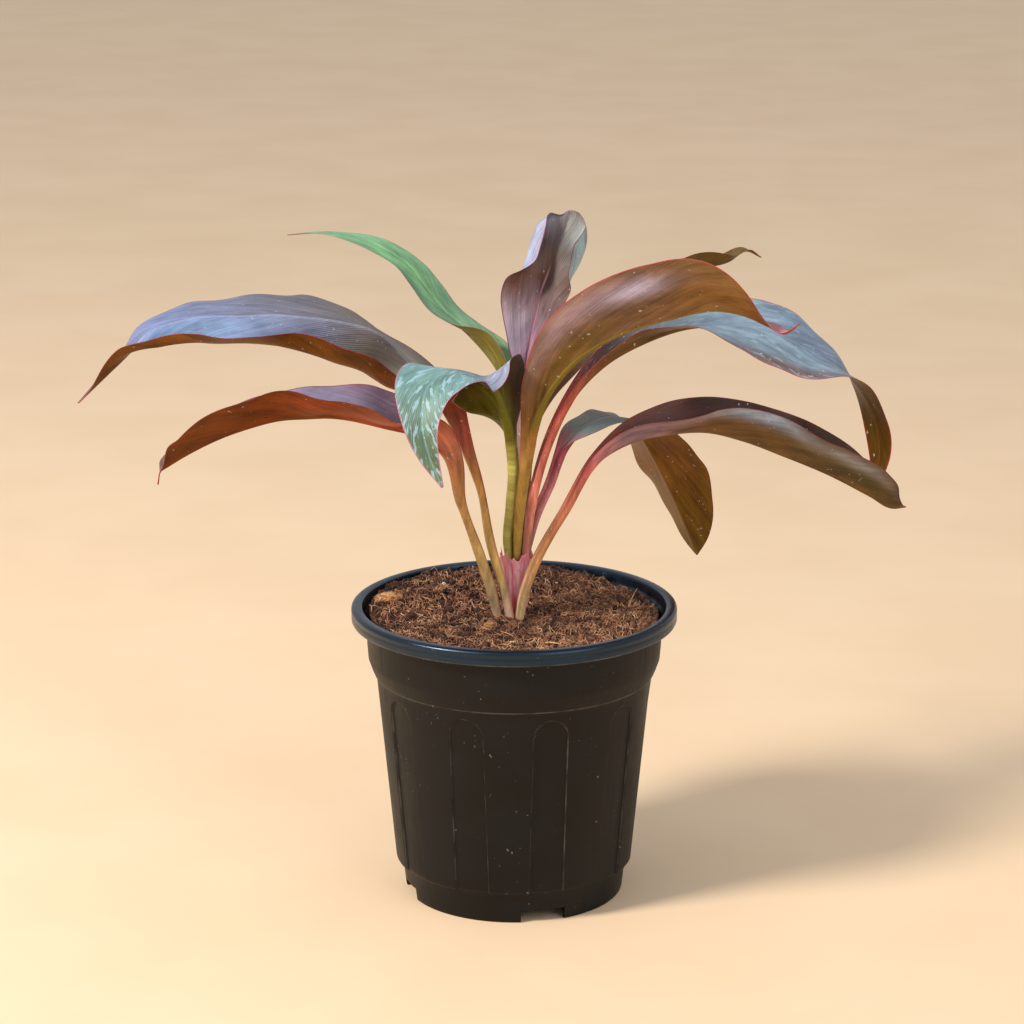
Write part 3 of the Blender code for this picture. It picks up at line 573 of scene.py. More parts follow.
def merge(parts):
    """Points and faces of several meshes as one."""
    points, faces, start = [], [], 0
    for some, quads in parts:
        points.append(np.asarray(some, float))
        faces += [tuple(start + i for i in face) for face in quads]
        start += len(some)
    return np.concatenate(points), faces


def tube(course, radii, sides):
    """A closed tube round a course of points."""
    course = np.asarray(course, float)
    directions = unit(np.gradient(course, axis=0) + 1e-9)
    guide = np.array([0.31, 0.17, 0.93])
    side = unit(np.cross(directions, guide))
    up = np.cross(side, directions)
    angles = tau * np.arange(sides) / sides
    radii = np.asarray(radii, float)[:, None, None]
    outwards = np.cos(angles)[None, :, None] * side[:, None] + np.sin(angles)[None, :, None] * up[:, None]
    rings = course[:, None] + radii * outwards
    faces = []
    for ring in range(len(course) - 1):
        faces += band(ring * sides, (ring + 1) * sides, sides)
    last = (len(course) - 1) * sides
    faces.append(tuple(range(sides))[::-1])
    faces.append(tuple(range(last, last + sides)))
    return rings.reshape(-1, 3), faces


# ---- pot ----


def pot_outside():
    """Radius and height down the outside, under the foot and up inside the foot, and where flutes dent it."""
    rings = [(70.9, 137.2), (73.2, 137.2), (74.2, 136.95), (74.8, 136.4), (75.0, 135.6), (75.0, 134.8)]
    rings += [(74.75, 134.2), (74.75, 133.7), (74.95, 133.1), (74.95, 131.0), (74.6, 130.3), (73.9, 130.1)]
    rings += [(69.4, 129.9), (68.7, 129.5), (68.25, 128.8), (68.1, 127.0), (67.8, 119.0), (67.35, 113.2)]
    rings += [(67.2, 112.4), (66.9, 111.6), (65.9, 108.6), (64.9, 106.2), (64.6, 105.6)]
    rings += [(64.35, 105.3), (64.1, 105.1), (63.9, 104.6)]
    rings = [(r, z, 0.0) for r, z in rings]
    heights = [103.5] + list(np.arange(102.0, 90.9, -0.5)) + list(np.arange(88.0, 22.0, -3.0))
    heights += [19.5, 18.0, 17.0]
    rings += [(55.2 + (z - 16.0) * 8.4 / 88.0, z, 1.0) for z in heights]
    rings += [(55.15, 16.2, 1.0), (54.85, 15.5, 1.0), (54.2, 15.0, 0.8), (53.1, 14.5, 0.3)]
    foot = [(52.4, 14.1), (52.1, 13.4), (51.6, 9.5), (51.2, 6.0), (50.9, 3.6), (50.6, 1.2)]
    foot += [(FOOT_RADIUS, 0.4), (50.0, 0.0), (49.0, 0.0), (48.6, 0.4)]
    foot += [(48.7, 1.2), (49.0, 3.6), (49.2, 6.0), (49.5, FLOOR_BOTTOM)]
    rings += [(r, z, 0.0) for r, z in foot]
    inside = [(49.5, FLOOR_TOP), (51.0, FLOOR_TOP), (52.2, 13.5), (52.6, 16.0), (62.0, 108.0), (63.4, 110.0)]
    inside += [(65.9, 128.5), (66.8, 129.9), (68.8, 131.5), (69.5, 133.2), (69.7, 135.6), (70.1, 136.8)]
    return rings + [(r, z, 0.0) for r, z in inside]


def pot_angles():
    """Outline directions in degrees right of the front, close together at the edges of flutes and notches."""
    half = list(np.arange(0.0, 6.1, 1.0)) + list(np.arange(6.6, 9.8, 0.2)) + list(np.arange(10.6, 18.0, 1.2))
    flute = sorted({round(side * a, 3) for a in half for side in (-1, 1)})
    angles = [FIRST_FLUTE + 360 / FLUTES * k + a for k in range(FLUTES) for a in flute]
    edge = np.degrees(NOTCH_WIDTH / 2 / FOOT_RADIUS)
    for k in range(4):
        for side in (-1, 1):
            angles += [FIRST_NOTCH + 90 * k + side * (edge + step) for step in (-0.03, 0.03)]
    return np.unique(np.round(np.mod(angles, 360.0), 3))


def flute_mask(offset, radius, height):
    """1 inside a flute, 0 outside: a panel with parallel sides and an arched top, and rounded edges."""
    across = np.abs(np.radians(offset)) * radius
    above = height - (FLUTE_TOP - FLUTE_HALF)
    out = np.where(above > 0, np.hypot(across, above), across) - FLUTE_HALF
    t = np.clip(0.5 - out / 0.6, 0, 1)
    return t * t * (3 - 2 * t)


def edge_highlight(radius, height, dents, mask):
    """How much painted highlight the wall gets at a ring: pale lines at flute borders, under the band and at
    the lip's lower edge.
    """
    crease = 1.0 if 105.0 < height < 105.5 or (radius > 73.5 and 130.0 < height < 130.5) else 0.0
    return np.maximum(crease, dents * (1 - np.abs(2 * mask - 1)))


def pot_wall():
    angles = pot_angles()
    pitch = 360 / FLUTES
    offsets = np.mod(angles - FIRST_FLUTE + pitch / 2, pitch) - pitch / 2
    notch_half = np.degrees(NOTCH_WIDTH / 2 / FOOT_RADIUS)
    notch = np.abs(np.mod(angles - FIRST_NOTCH + 45, 90) - 45) < notch_half
    directions = np.radians(angles - 90)
    rings = pot_outside()
    points, highlit = [], []
    for radius, height, dents in rings:
        mask = flute_mask(offsets, radius, height)
        highlit.append(edge_highlight(radius, height, dents, mask))
        r = radius - FLUTE_DEPTH * dents * mask
        z = np.where(notch & (height < NOTCH_HEIGHT), NOTCH_HEIGHT, height)
        points.append(np.column_stack([r * np.cos(directions), r * np.sin(directions), z]))
    n, faces = len(angles), []
    for ring in range(len(rings)):
        faces += band(ring * n, (ring + 1) % len(rings) * n, n)
    return np.concatenate(points), faces, np.concatenate(highlit)


def from_lowest(face):
    """The same face, listed from its lowest index."""
    first = face.index(min(face))
    return face[first:] + face[:first]


def pot_floor():
    """The raised floor, with one drain hole in the middle and six around it."""
    shape = bmesh.new()
    rims = []
    outlines = [circle(FLOOR_RADIUS, 96), circle(DRAIN_RADIUS, 24)]
    outlines += [circle(DRAIN_RADIUS, 24, centre) for centre in circle(DRAIN_CIRCLE, 6)]
    for outline in outlines:
        sides = len(outline)
        rim = [shape.verts.new((x, y, FLOOR_BOTTOM)) for x, y in outline]
        rims += [shape.edges.new((rim[i], rim[(i + 1) % sides])) for i in range(sides)]
    bmesh.ops.triangle_fill(shape, edges=rims, use_beauty=True)
    slab = bmesh.ops.extrude_face_region(shape, geom=shape.faces[:])
    for vert in (item for item in slab["geom"] if isinstance(item, bmesh.types.BMVert)):
        vert.co.z = FLOOR_TOP
    bmesh.ops.recalc_face_normals(shape, faces=shape.faces)
    shape.verts.index_update()
    points = [tuple(vert.co) for vert in shape.verts]
    faces = [tuple(vert.index for vert in face.verts) for face in shape.faces]
    shape.free()
    return points, sorted(faces, key=from_lowest)  # the extrusion's own order varies between runs


def pot_material():
    made, tree, shader = new_material("black_pot_plastic")
    place = object_place(tree)
    grain = noise(tree, place, 900.0, 2.0)
    clouds = noise(tree, place, 34.0, 4.0, 0.6)
    tall = squeezed(tree, place, 0.07)
    scuffs = noise(tree, tall, 420.0, 3.0, 0.65)
    dust = ramp(tree, noise(tree, place, 520.0, 1.0, 0.4), 0.735, 0.78)
    dusty = times(tree, dust, ramp(tree, noise(tree, place, 55.0, 2.0), 0.45, 0.62))
    height_here = add(tree, "SeparateXYZ", None, Vector=place).outputs["Z"]
    # Painted reflection: above about 129 mm the lip and inner rim get a dark bluish colour and blue-tinted
    # reflections, standing in for a bluish sky; the body's reflections are tinted warm.
    lip = ramp(tree, height_here, 0.1285, 0.1305)
    base = mix(tree, ramp(tree, clouds, 0.35, 0.7), srgb(4, 5, 6), srgb(11, 12, 13))
    base = mix(tree, lip, base, srgb(5, 9, 15))
    # Painted highlight: pale grey lines where the flute borders, the band's lower edge and the lip's lower
    # edge catch the light, broken into patches.
    patches = ramp(tree, noise(tree, place, 90.0, 3.0, 0.6), 0.35, 0.7, 0.06, 0.5)
    highlit = times(tree, attribute(tree, "edge_highlight"), patches)
    base = mix(tree, highlit, base, srgb(120, 116, 108))
    base = mix(tree, times(tree, dusty, 0.5), base, srgb(140, 134, 124))
    scuffed = ramp(tree, scuffs, 0.4, 0.8, 0.0, 0.08)
    rough = plus(tree, ramp(tree, clouds, 0.3, 0.75, 0.42, 0.54), scuffed)
    rough = maths(tree, "SUBTRACT", rough, times(tree, lip, 0.18))
    shine = plus(tree, 0.25, times(tree, lip, 0.5))
    # Painted reflection colour: blue on the lip, warm on the body.
    painted_reflection_tint = mix(tree, lip, (1.0, 0.96, 0.92), (0.42, 0.66, 1.0))
    set_inputs(tree, shader, Base_Color=base, Roughness=rough, IOR=1.5)
    set_inputs(tree, shader, Specular_IOR_Level=shine, Specular_Tint=painted_reflection_tint)
    height = plus(tree, grain, times(tree, scuffs, 0.6))
    bump(tree, shader, height, 0.12, 0.15)
    return made


def make_pot():
    wall, wall_faces, highlit = pot_wall()
    points, faces = merge([(wall, wall_faces), pot_floor()])
    highlit = np.concatenate([highlit, np.zeros(len(points) - len(wall))])
    pot = piece("nursery_pot", points, faces, pot_material(), ["pot"], "pot_plastic", floats={"edge_highlight": highlit})
    shape = bmesh.new()
    shape.from_mesh(pot.data)
    bmesh.ops.remove_doubles(shape, verts=shape.verts, dist=1e-7)
    bmesh.ops.recalc_face_normals(shape, faces=shape.faces)
    shape.to_mesh(pot.data)
    shape.free()
    pot.data.set_sharp_from_angle(angle=radians(38))


# ---- soil ----


def soil_height(x, y):
    """The soil's broad bumps, level under the plant's base and banked up behind it, as its solid has them."""
    bumps = 0.5 * np.sin(x * 0.21 + 1.0) * np.cos(y * 0.17) + 0.35 * np.sin(x * 0.47 + y * 0.39)
    bank = np.clip((0.85 * y - 0.5 * x - 6) / 42, 0, 1)
    level = SOIL_TOP + bumps * np.clip((np.hypot(x, y) - 12) / 14, 0, 1)
    return level + SOIL_BANK * bank * bank * (3 - 2 * bank)


def soil_top(x, y):
    """Broad bumps with clods and crumbs on them."""
    at = Vector((x, y, 0))
    clods = mnoise.fractal(at * 0.16, 1.0, 2.1, 3)
    crumbs = mnoise.fractal(at * 0.75 + Vector((9, 4, 2)), 0.8, 2.2, 4)
    edge = max(0.0, (x * x + y * y) ** 0.5 - 61) * 0.22
    return float(soil_height(x, y)) + 1.8 * clods + 1.5 * crumbs + edge


def make_soil():
    sides = SOIL_SIDES
    points = [(0.0, 0.0, soil_top(0, 0))]
    for ring in range(1, SOIL_RINGS + 1):
        points += [(x, y, soil_top(x, y)) for x, y in circle(SOIL_REACH * ring / SOIL_RINGS, sides)]
    below = ((65.2, 126.0), (62.7, 109.9), (61.3, 107.8), (51.8, 15.8), (50.4, 12.3))
    for radius, height in below:
        points += [(x, y, height) for x, y in circle(radius, sides)]
    faces = [(0, 1 + i, 1 + (i + 1) % sides) for i in range(sides)]
    for ring in range(SOIL_RINGS + len(below) - 1):
        low, high = 1 + ring * sides, 1 + (ring + 1) * sides
        faces += [(low + i, high + i, high + (i + 1) % sides, low + (i + 1) % sides) for i in range(sides)]
    faces.append(tuple(range(len(points) - 1, len(points) - sides - 1, -1)))
    piece("soil_bed", points, faces, soil_material("coir_soil"), ["soil"], "soil")


def soil_material(name, light=False):
    made, tree, shader = new_material(name)
    place = object_place(tree)
    lumps = noise(tree, place, 260.0, 4.0, 0.6)
    fine = noise(tree, place, 1100.0, 3.0, 0.6)
    dark, pale = srgb(20, 11, 8), srgb(172, 122, 88)
    # Painted light: the soil's mid tone is lighter to the right of the stem (+X), making up for the leaves'
    # shade there.
    painted_light_right = ramp(tree, add(tree, "SeparateXYZ", None, Vector=place).outputs["X"], -0.02, 0.05)
    mid = mix(tree, painted_light_right, srgb(86, 52, 37), srgb(138, 92, 66))
    base = mix(tree, ramp(tree, lumps, 0.36, 0.62), dark, mid)
    grains = times(tree, ramp(tree, fine, 0.56, 0.74), 0.9 if light else 0.55)
    base = mix(tree, grains, base, pale)
    set_inputs(tree, shader, Base_Color=base, Roughness=0.9)
    bump(tree, shader, plus(tree, lumps, fine), 0.7, 0.6)
    return made


def lump(chance, size, divisions):
    """An irregular crumb about the origin."""
    points, faces = SPHERES[divisions]
    stretch = size * chance.uniform(0.55, 1.25, 3)
    waves = np.sin(points @ chance.normal(0, 2.4, (3, 3)) + chance.uniform(0, tau, 3))
    swell = 1 + 0.28 * waves.mean(axis=1, keepdims=True)
    turned = (points * swell * stretch) @ np.array(Matrix.Rotation(chance.uniform(0, tau), 3, "Z")).T
    return turned, faces


def unit_sphere(divisions):
    shape = bmesh.new()
    bmesh.ops.create_icosphere(shape, subdivisions=divisions, radius=1.0)
    points = np.array([tuple(vert.co) for vert in shape.verts])
    faces = [tuple(vert.index for vert in face.verts) for face in shape.faces]
    shape.free()
    return points, faces


def on_soil(chance, reach=65.0, keep_off=6.0):
    """A place on the soil, away from the plant's base."""
    while True:
        x, y = chance.uniform(-reach, reach, 2)
        if keep_off < np.hypot(x, y) < reach:
            return x, y, soil_top(x, y)


def make_crumbs():
    chance = np.random.default_rng(11)
    parts = []
    for _ in range(2600):
        size = chance.uniform(0.3, 1.0)
        points, faces = lump(chance, size, 1)
        parts.append((points + np.array(on_soil(chance)) + (0, 0, size * 0.2), faces))
    for _ in range(330):
        size = chance.uniform(0.9, 2.1)
        points, faces = lump(chance, size, 2)
        parts.append((points + np.array(on_soil(chance, 63.5)) + (0, 0, size * 0.15), faces))
    piece("soil_crumbs", *merge(parts), soil_material("coir_crumbs", True), [], "soil")


def fibre(chance, start, length, curl):
    """A thin fibre that wanders over the soil from a start point."""
    steps = max(6, int(length / 0.9))
    turn, heading = chance.normal(0, curl), chance.uniform(0, tau)
    x, y = start[:2]
    course = []
    lift, arch = chance.uniform(0.1, 0.5), chance.uniform(0.0, 1.8)
    for step in range(steps):
        z = soil_top(x, y) + lift + arch * sin(pi * step / (steps - 1))
        course.append((x, y, z))
        heading += turn + chance.normal(0, 0.28)
        x += length / steps * cos(heading)
        y += length / steps * sin(heading)
        if x * x + y * y > 66.0**2:
            heading += pi
    return course


def fibre_material(name, first, second):
    made, tree, shader = new_material(name)
    place = object_place(tree)
    tone = noise(tree, place, 120.0, 2.0)
    base = mix(tree, ramp(tree, tone, 0.35, 0.65), first, second)
    set_inputs(tree, shader, Base_Color=base, Roughness=0.75)
    bump(tree, shader, noise(tree, place, 1500.0), 0.3, 0.2)
    return made


def make_fibres():
    chance = np.random.default_rng(23)
    groups = (
        ("brown_fibres", 2100, (4, 13), (0.18, 0.34), srgb(92, 56, 40), srgb(172, 120, 88)),
        ("tan_fibres", 760, (4, 14), (0.12, 0.24), srgb(176, 124, 90), srgb(222, 180, 138)),
    )
    for name, count, lengths, radii, first, second in groups:
        parts = []
        for number in range(count):
            start = on_soil(chance, 62.0)
            if number % 19 == 0 and name == "tan_fibres":
                start = (5 + chance.normal(0, 8), -54 + chance.normal(0, 3))
            course = fibre(chance, start, chance.uniform(*lengths), 0.42)
            taper = np.sin(np.linspace(0.35, pi - 0.35, len(course)))
            parts.append(tube(course, chance.uniform(*radii) * taper, 4))
        piece(name, *merge(parts), fibre_material(name, first, second), [], "soil")


def grit_material(name, colour, other):
    made, tree, shader = new_material(name)
    place = object_place(tree)
    tone = noise(tree, place, 700.0, 3.0)
    base = mix(tree, ramp(tree, tone, 0.35, 0.65), colour, other)
    set_inputs(tree, shader, Base_Color=base, Roughness=0.85)
    bump(tree, shader, tone, 0.5, 0.3)
    return made


def make_perlite():
    """White perlite grains in the soil."""
    chance = np.random.default_rng(5)
    places = [(-33.0, 36.0, 1.0), (-38.5, 40.5, 0.7), (-47.5, -15.0, 0.9), (42.0, 14.0, 1.1)]
    places += [(43.0, 6.0, 0.6), (20.0, 44.0, 0.6), (-12.0, 52.0, 0.5), (30.0, -34.0, 0.5)]
    places += [(8.0, 50.0, 0.6), (-52.0, 24.0, 0.5)]
    parts = []
    for x, y, size in places:
        points, faces = lump(chance, size, 2)
        parts.append((points + (x, y, soil_top(x, y) + 0.5 * size), faces))
    finish = grit_material("perlite", srgb(226, 218, 204), srgb(196, 184, 168))
    piece("perlite", *merge(parts), finish, [], "soil")


def make_chip(name, centre, size, turn, seed):
    """A lump of coir husk: a rough core with fibres matted over it."""
    chance = np.random.default_rng(seed)
    core, faces = unit_sphere(3)
    ridges = np.array([mnoise.fractal(Vector(p) * 2.3 + Vector((seed, 0, 0)), 0.9, 2.0, 4) for p in core])
    shell = core * (1 + 0.35 * ridges[:, None]) * np.array(size)
    turned = shell @ np.array(Matrix.Rotation(radians(turn), 3, "Z")).T
    base = np.array([centre[0], centre[1], soil_top(*centre) + size[2] * 0.6])
    parts = [(turned + base, faces)]
    for _ in range(46):
        start = chance.normal(0, 1, 3)
        start = start / np.linalg.norm(start)
        bend = chance.normal(0, 0.35, 3)
        course = []
        for step in range(7):
            spot = start + bend * step * 0.22
            spot = spot / np.linalg.norm(spot) * (1.02 + 0.05 * chance.normal())
            course.append(spot * np.array(size))
        course = np.array(course) @ np.array(Matrix.Rotation(radians(turn), 3, "Z")).T + base
        parts.append(tube(course, np.full(7, 0.2), 4))
    finish = grit_material(name + "_husk", srgb(206, 156, 104), srgb(150, 100, 60))
    piece(name + "_look", *merge(parts), finish, [name], "husk")


def make_straws():
    """A stiff straw and a few pale fibres that lie across the soil."""
    straws = [
        ((53.0, 10.0, 132.6), (57.5, 22.0, 138.0), 0.28),
        ((-52.0, 2.0, 133.4), (-40.0, -8.0, 132.6), 0.3),
        ((-6.0, -30.0, 132.9), (2.0, -41.0, 132.4), 0.26),
        ((-4.0, 26.0, 133.0), (-8.0, 34.0, 135.0), 0.22),
        ((14.0, -47.0, 133.0), (24.0, -52.0, 132.6), 0.4),
        ((36.0, -8.0, 132.9), (38.0, 4.0, 133.4), 0.22),
    ]
    parts = []
    for start, end, radius in straws:
        start, end = np.array(start), np.array(end)
        places = np.linspace(0, 1, 9)
        course = [start + (end - start) * t + np.array((0, 0, 0.7 * sin(pi * t))) for t in places]
        parts.append(tube(course, radius * np.linspace(1, 0.5, 9), 6))
    finish = grit_material("straw", srgb(214, 170, 120), srgb(178, 128, 84))
    piece("straws", *merge(parts), finish, [], "soil")


# ---- stem and sheath ----


def make_stem():
    rows, sides = 60, 40
    points, colours = [], []
    for row in range(rows):
        z = STEM_BOTTOM + (STEM_TOP - STEM_BOTTOM) * row / (rows - 1)
        for i in range(sides):
            angle = tau * i / sides
            radius = STEM_RADIUS + 0.25 * sin(3 * angle + z * 0.1) - 0.9 * max(0.0, (z - 152) / 7)
            points.append((STEM_AXIS[0] + radius * cos(angle), STEM_AXIS[1] + radius * sin(angle), z))
            red = np.clip(1 - abs(z - STEM_RED) / 9, 0, 1)
            colours.append(np.array(srgb(232, 176, 180)) * (1 - red) + np.array(srgb(236, 60, 62)) * red)
    faces = []
    for row in range(rows - 1):
        faces += band(row * sides, (row + 1) * sides, sides)
    faces.append(tuple(range(sides))[::-1])
    faces.append(tuple(range((rows - 1) * sides, rows * sides)))
    made, tree, shader = new_material("stem_skin")
    place = object_place(tree)
    tall = squeezed(tree, place, 0.12)
    streaks = noise(tree, tall, 700.0, 3.0)
    paint = attribute(tree, "paint", "Color")
    base = mix(tree, ramp(tree, streaks, 0.4, 0.75, 0.0, 0.45), paint, srgb(240, 206, 190))
    set_inputs(tree, shader, Base_Color=base, Roughness=0.45, Subsurface_Weight=0.1, Subsurface_Scale=0.003)
    bump(tree, shader, streaks, 0.4, 0.3)
    piece("stem_look", points, faces, made, ["stem"], "stem", colours={"paint": np.array(colours)})


def make_sheath():
    """The papery wrap: a thin curved sheet with a torn top that flares out."""
    rows, columns = 40, 70
    rose, blush = np.array(srgb(255, 122, 144)), np.array(srgb(255, 204, 214))
    outer, inner, colours = [], [], []
    for row in range(rows + 1):
        up = row / rows
        for column in range(columns + 1):
            across = column / columns
            angle = radians(-205 + 235 * across)
            top = SHEATH_TOP - 3.4 * abs(sin(3.1 * across * pi)) - 1.8 * abs(sin(8.3 * across * pi + 0.6))
            z = SHEATH_BOTTOM + (top - SHEATH_BOTTOM) * up
            flare = 2.0 * up**4 + 0.35 * sin(5 * angle + 2.5 * up) + 0.2 * sin(17 * angle)
            radius = STEM_RADIUS + 1.25 + flare - 0.5 * (1 - up)
            point = np.array([STEM_AXIS[0] + radius * cos(angle), STEM_AXIS[1] + radius * sin(angle), z])
            inward = np.array([cos(angle), sin(angle), 0]) * SHEATH_WALL
            outer.append(point)
            inner.append(point - inward)
            pale = 0.5 + 0.5 * sin(9 * angle + 3 * up)
            tone = rose * (1 - 0.5 * pale) + blush * 0.5 * pale
            low = np.clip(1 - up * 2.6, 0, 1)
            colours.append(tone * (1 - low) + np.array(srgb(240, 62, 66)) * low)
    n = columns + 1
    back = n * (rows + 1)
    faces = []
    for row in range(rows):
        for column in range(columns):
            a = row * n + column
            faces.append((a, a + 1, a + n + 1, a + n))
            faces.append((back + a, back + a + n, back + a + n + 1, back + a + 1))
    for row in range(rows):
        for column, turned in ((0, False), (columns, True)):
            a = row * n + column
            quad = (a, a + n, back + a + n, back + a)
            faces.append(quad[::-1] if turned else quad)
    for column in range(columns):
        for row, turned in ((0, True), (rows, False)):
            a = row * n + column
            quad = (a, a + 1, back + a + 1, back + a)
            faces.append(quad[::-1] if turned else quad)
    made, tree, shader = new_material("papery_sheath")
    place = object_place(tree)
    tall = squeezed(tree, place, 0.1)
    streaks = noise(tree, tall, 900.0, 4.0, 0.6)
    paint = attribute(tree, "paint", "Color")
    base = mix(tree, ramp(tree, streaks, 0.42, 0.72, 0.0, 0.6), paint, srgb(255, 222, 226))
    set_inputs(tree, shader, Base_Color=base, Roughness=0.5, Subsurface_Weight=0.3, Subsurface_Scale=0.004)
    bump(tree, shader, streaks, 0.5, 0.3)
    tones = np.array(colours + colours)
    piece("sheath_look", outer + inner, faces, made, ["stem_sheath"], "sheath", colours={"paint": tones})


# ---- leaves ----


def leaf_course(heading, stations):
    """Arc length, station values, midrib points, and the sideways and upper directions along a leaf."""
    knots = np.concatenate([[0], np.cumsum(np.linalg.norm(np.diff(stations[:, :3], axis=0), axis=1))])
    at = np.linspace(0, knots[-1], LEAF_ROWS)
    values = smooth_rows(knots, stations, at)
    centre = values[:, :3]
    tangent = unit(np.gradient(centre, axis=0))
    level = np.array([sin(radians(heading)), -cos(radians(heading)), 0.0])
    side = unit(level - (tangent @ level)[:, None] * tangent)
    up = np.cross(side, tangent)
    c, s = np.cos(np.radians(values[:, 8:9])), np.sin(np.radians(values[:, 8:9]))
    return at, values, centre, side * c + up * s, up * c - side * s, knots


def half_section(angle, curl, reach):
    """Across and up from the midrib, and the surface's turn, at fractions of a half blade for each row."""
    steps = np.linspace(0, 1, 81)
    bend = np.clip(steps * 2.5 - 1, 0, 1)
    turning = angle[:, None] + curl[:, None] * (bend**2 * (3 - 2 * bend))
    gap = steps[1]
    def total(values):
        inner = np.cumsum((values[:, 1:] + values[:, :-1]) / 2 * gap, axis=1)
        return np.concatenate([np.zeros((len(values), 1)), inner], axis=1)
    across, rise = total(np.cos(turning)), total(np.sin(turning))
    place = reach * (len(steps) - 1)
    k = np.minimum(place.astype(int), len(steps) - 2)
    f = place - k
    return [v[:, k] * (1 - f) + v[:, k + 1] * f for v in (across, rise, turning)]


def paint_rows(look, t):
    """Upper left, upper right, lower left and lower right colours at places along a leaf."""
    knots = [row[0] for row in look["paint"]]
    rows = [row[1:] if len(row) == 5 else (row[1], row[1], row[2], row[2]) for row in look["paint"]]
    quarters = []
    for k in range(4):
        tones = [srgb(*row[k]) for row in rows]
        channels = [np.interp(t, knots, [tone[c] for tone in tones]) for c in range(3)]
        quarters.append(np.stack(channels, axis=1))
    return quarters


def leaf_colours(look, t, across, edge):
    """Colours of the upper and lower sides: the paint rows, with the bands laid over them."""
    share = np.clip(across / 1.2 * 0.5 + 0.5, 0, 1)[..., None]
    ul, ur, dl, dr = paint_rows(look, t)
    sides = {
        "up": ul[:, None] * (1 - share) + ur[:, None] * share,
        "down": dl[:, None] * (1 - share) + dr[:, None] * share,
    }
    out = np.abs(across) / (np.abs(across) + edge + 1e-6)
    blade_at = np.repeat(t[:, None], across.shape[1], axis=1)
    for face, place, spread, middle, reach_out, sign, colour, amount in look["bands"]:
        weight = amount * np.exp(-(((blade_at - place) / spread) ** 2) - ((out - middle) / reach_out) ** 2)
        weight = (weight * np.where(sign == 0, 1, np.clip(0.5 + sign * across, 0, 1)))[..., None]
        sides[face] = sides[face] * (1 - weight) + np.array(srgb(*colour)) * weight
    return sides["up"], sides["down"]


def leaf_shape(heading, petiole, halves, blade, look):
    stalk = (PETIOLE_FOLD, PETIOLE_CURL, PETIOLE_FOLD, PETIOLE_CURL, 0)
    stations = np.array([(*point, half, *stalk) for point, half in zip(petiole, halves)] + list(blade), float)
    at, values, centre, side, up, knots = leaf_course(heading, stations)
    start = knots[len(petiole)]
    t = np.where(at < start, at / start - 1, (at - start) / (knots[-1] - start))
    half = np.maximum(values[:, 3], 0.28)
    reach = (1 - np.cos(pi * np.arange(LEAF_COLUMNS + 1) / LEAF_COLUMNS)) / 2
    blade_part = np.clip((t + 0.06) / 0.16, 0, 1)
    thick = PETIOLE_THICKNESS + (BLADE_THICKNESS - PETIOLE_THICKNESS) * blade_part
    rib_half = 0.35 + 1.1 * np.clip(1 - t, 0, 1) * blade_part + (1 - blade_part) * 2.0
    radius = np.minimum(half, PETIOLE_HALF)
    keel = 0.85 * radius * (1 - 0.9 * np.clip(t * 1.5 + 0.1, 0, 1))
    tops, bottoms, across_all, edge_all = [], [], [], []
    for sign, angle, curl, phase in ((-1, 4, 5, 0.0), (1, 6, 7, 2.1)):
        across, rise, turned = half_section(np.radians(values[:, angle]), np.radians(values[:, curl]), reach)
        lean = sign * across[..., None] * side[:, None] + rise[..., None] * up[:, None]
        spot = centre[:, None] + half[:, None, None] * lean
        normal = -sign * np.sin(turned)[..., None] * side[:, None] + np.cos(turned)[..., None] * up[:, None]
        width = half[:, None] * reach[None]
        wave = np.zeros_like(width)
        for size, length, shift in look["waves"]:
            wave += size * np.sin(tau * at[:, None] / length + phase + shift)
        window = np.clip(t * 4, 0, 1) * np.clip((1 - t) * 6, 0, 1)
        wave *= (reach**2.2)[None] * window[:, None] * np.clip(half / 12, 0, 1)[:, None]
        groove = 0.35 * blade_part[:, None] * np.exp(-((width / 0.9) ** 2)) * np.clip(half / 4, 0, 1)[:, None]
        swell = (thick / 2)[:, None] * (1 - 0.85 * reach[None] ** 4)
        round_keel = keel[:, None] * np.sqrt(np.clip(1 - (width / radius[:, None]) ** 2, 0, 1))
        tops.append(spot + normal * (wave + swell - groove)[..., None])
        bottoms.append(spot + normal * (wave - swell - round_keel)[..., None])
        tops[-1][:, -1] = (spot + normal * wave[..., None])[:, -1]
        across_all.append(sign * width)
        edge_all.append(half[:, None] * (1 - reach)[None])
    join = lambda pair: np.concatenate([pair[0][:, :0:-1], pair[1]], axis=1)
    top, bottom = join(tops), join(bottoms)
    top[:, LEAF_COLUMNS] = (tops[0][:, 0] + tops[1][:, 0]) / 2
    bottom[:, LEAF_COLUMNS] = (bottoms[0][:, 0] + bottoms[1][:, 0]) / 2
    across, edge = join(across_all), join(edge_all)
    along = np.repeat(at[:, None], across.shape[1], axis=1)
    rib = np.abs(across) / rib_half[:, None]
    blade_at = np.repeat(t[:, None], across.shape[1], axis=1)
    facts = dict(across=across, edge=edge, along=along, rib=rib, blade=blade_at)
    return top, bottom, facts, *leaf_colours(look, t, across, edge)


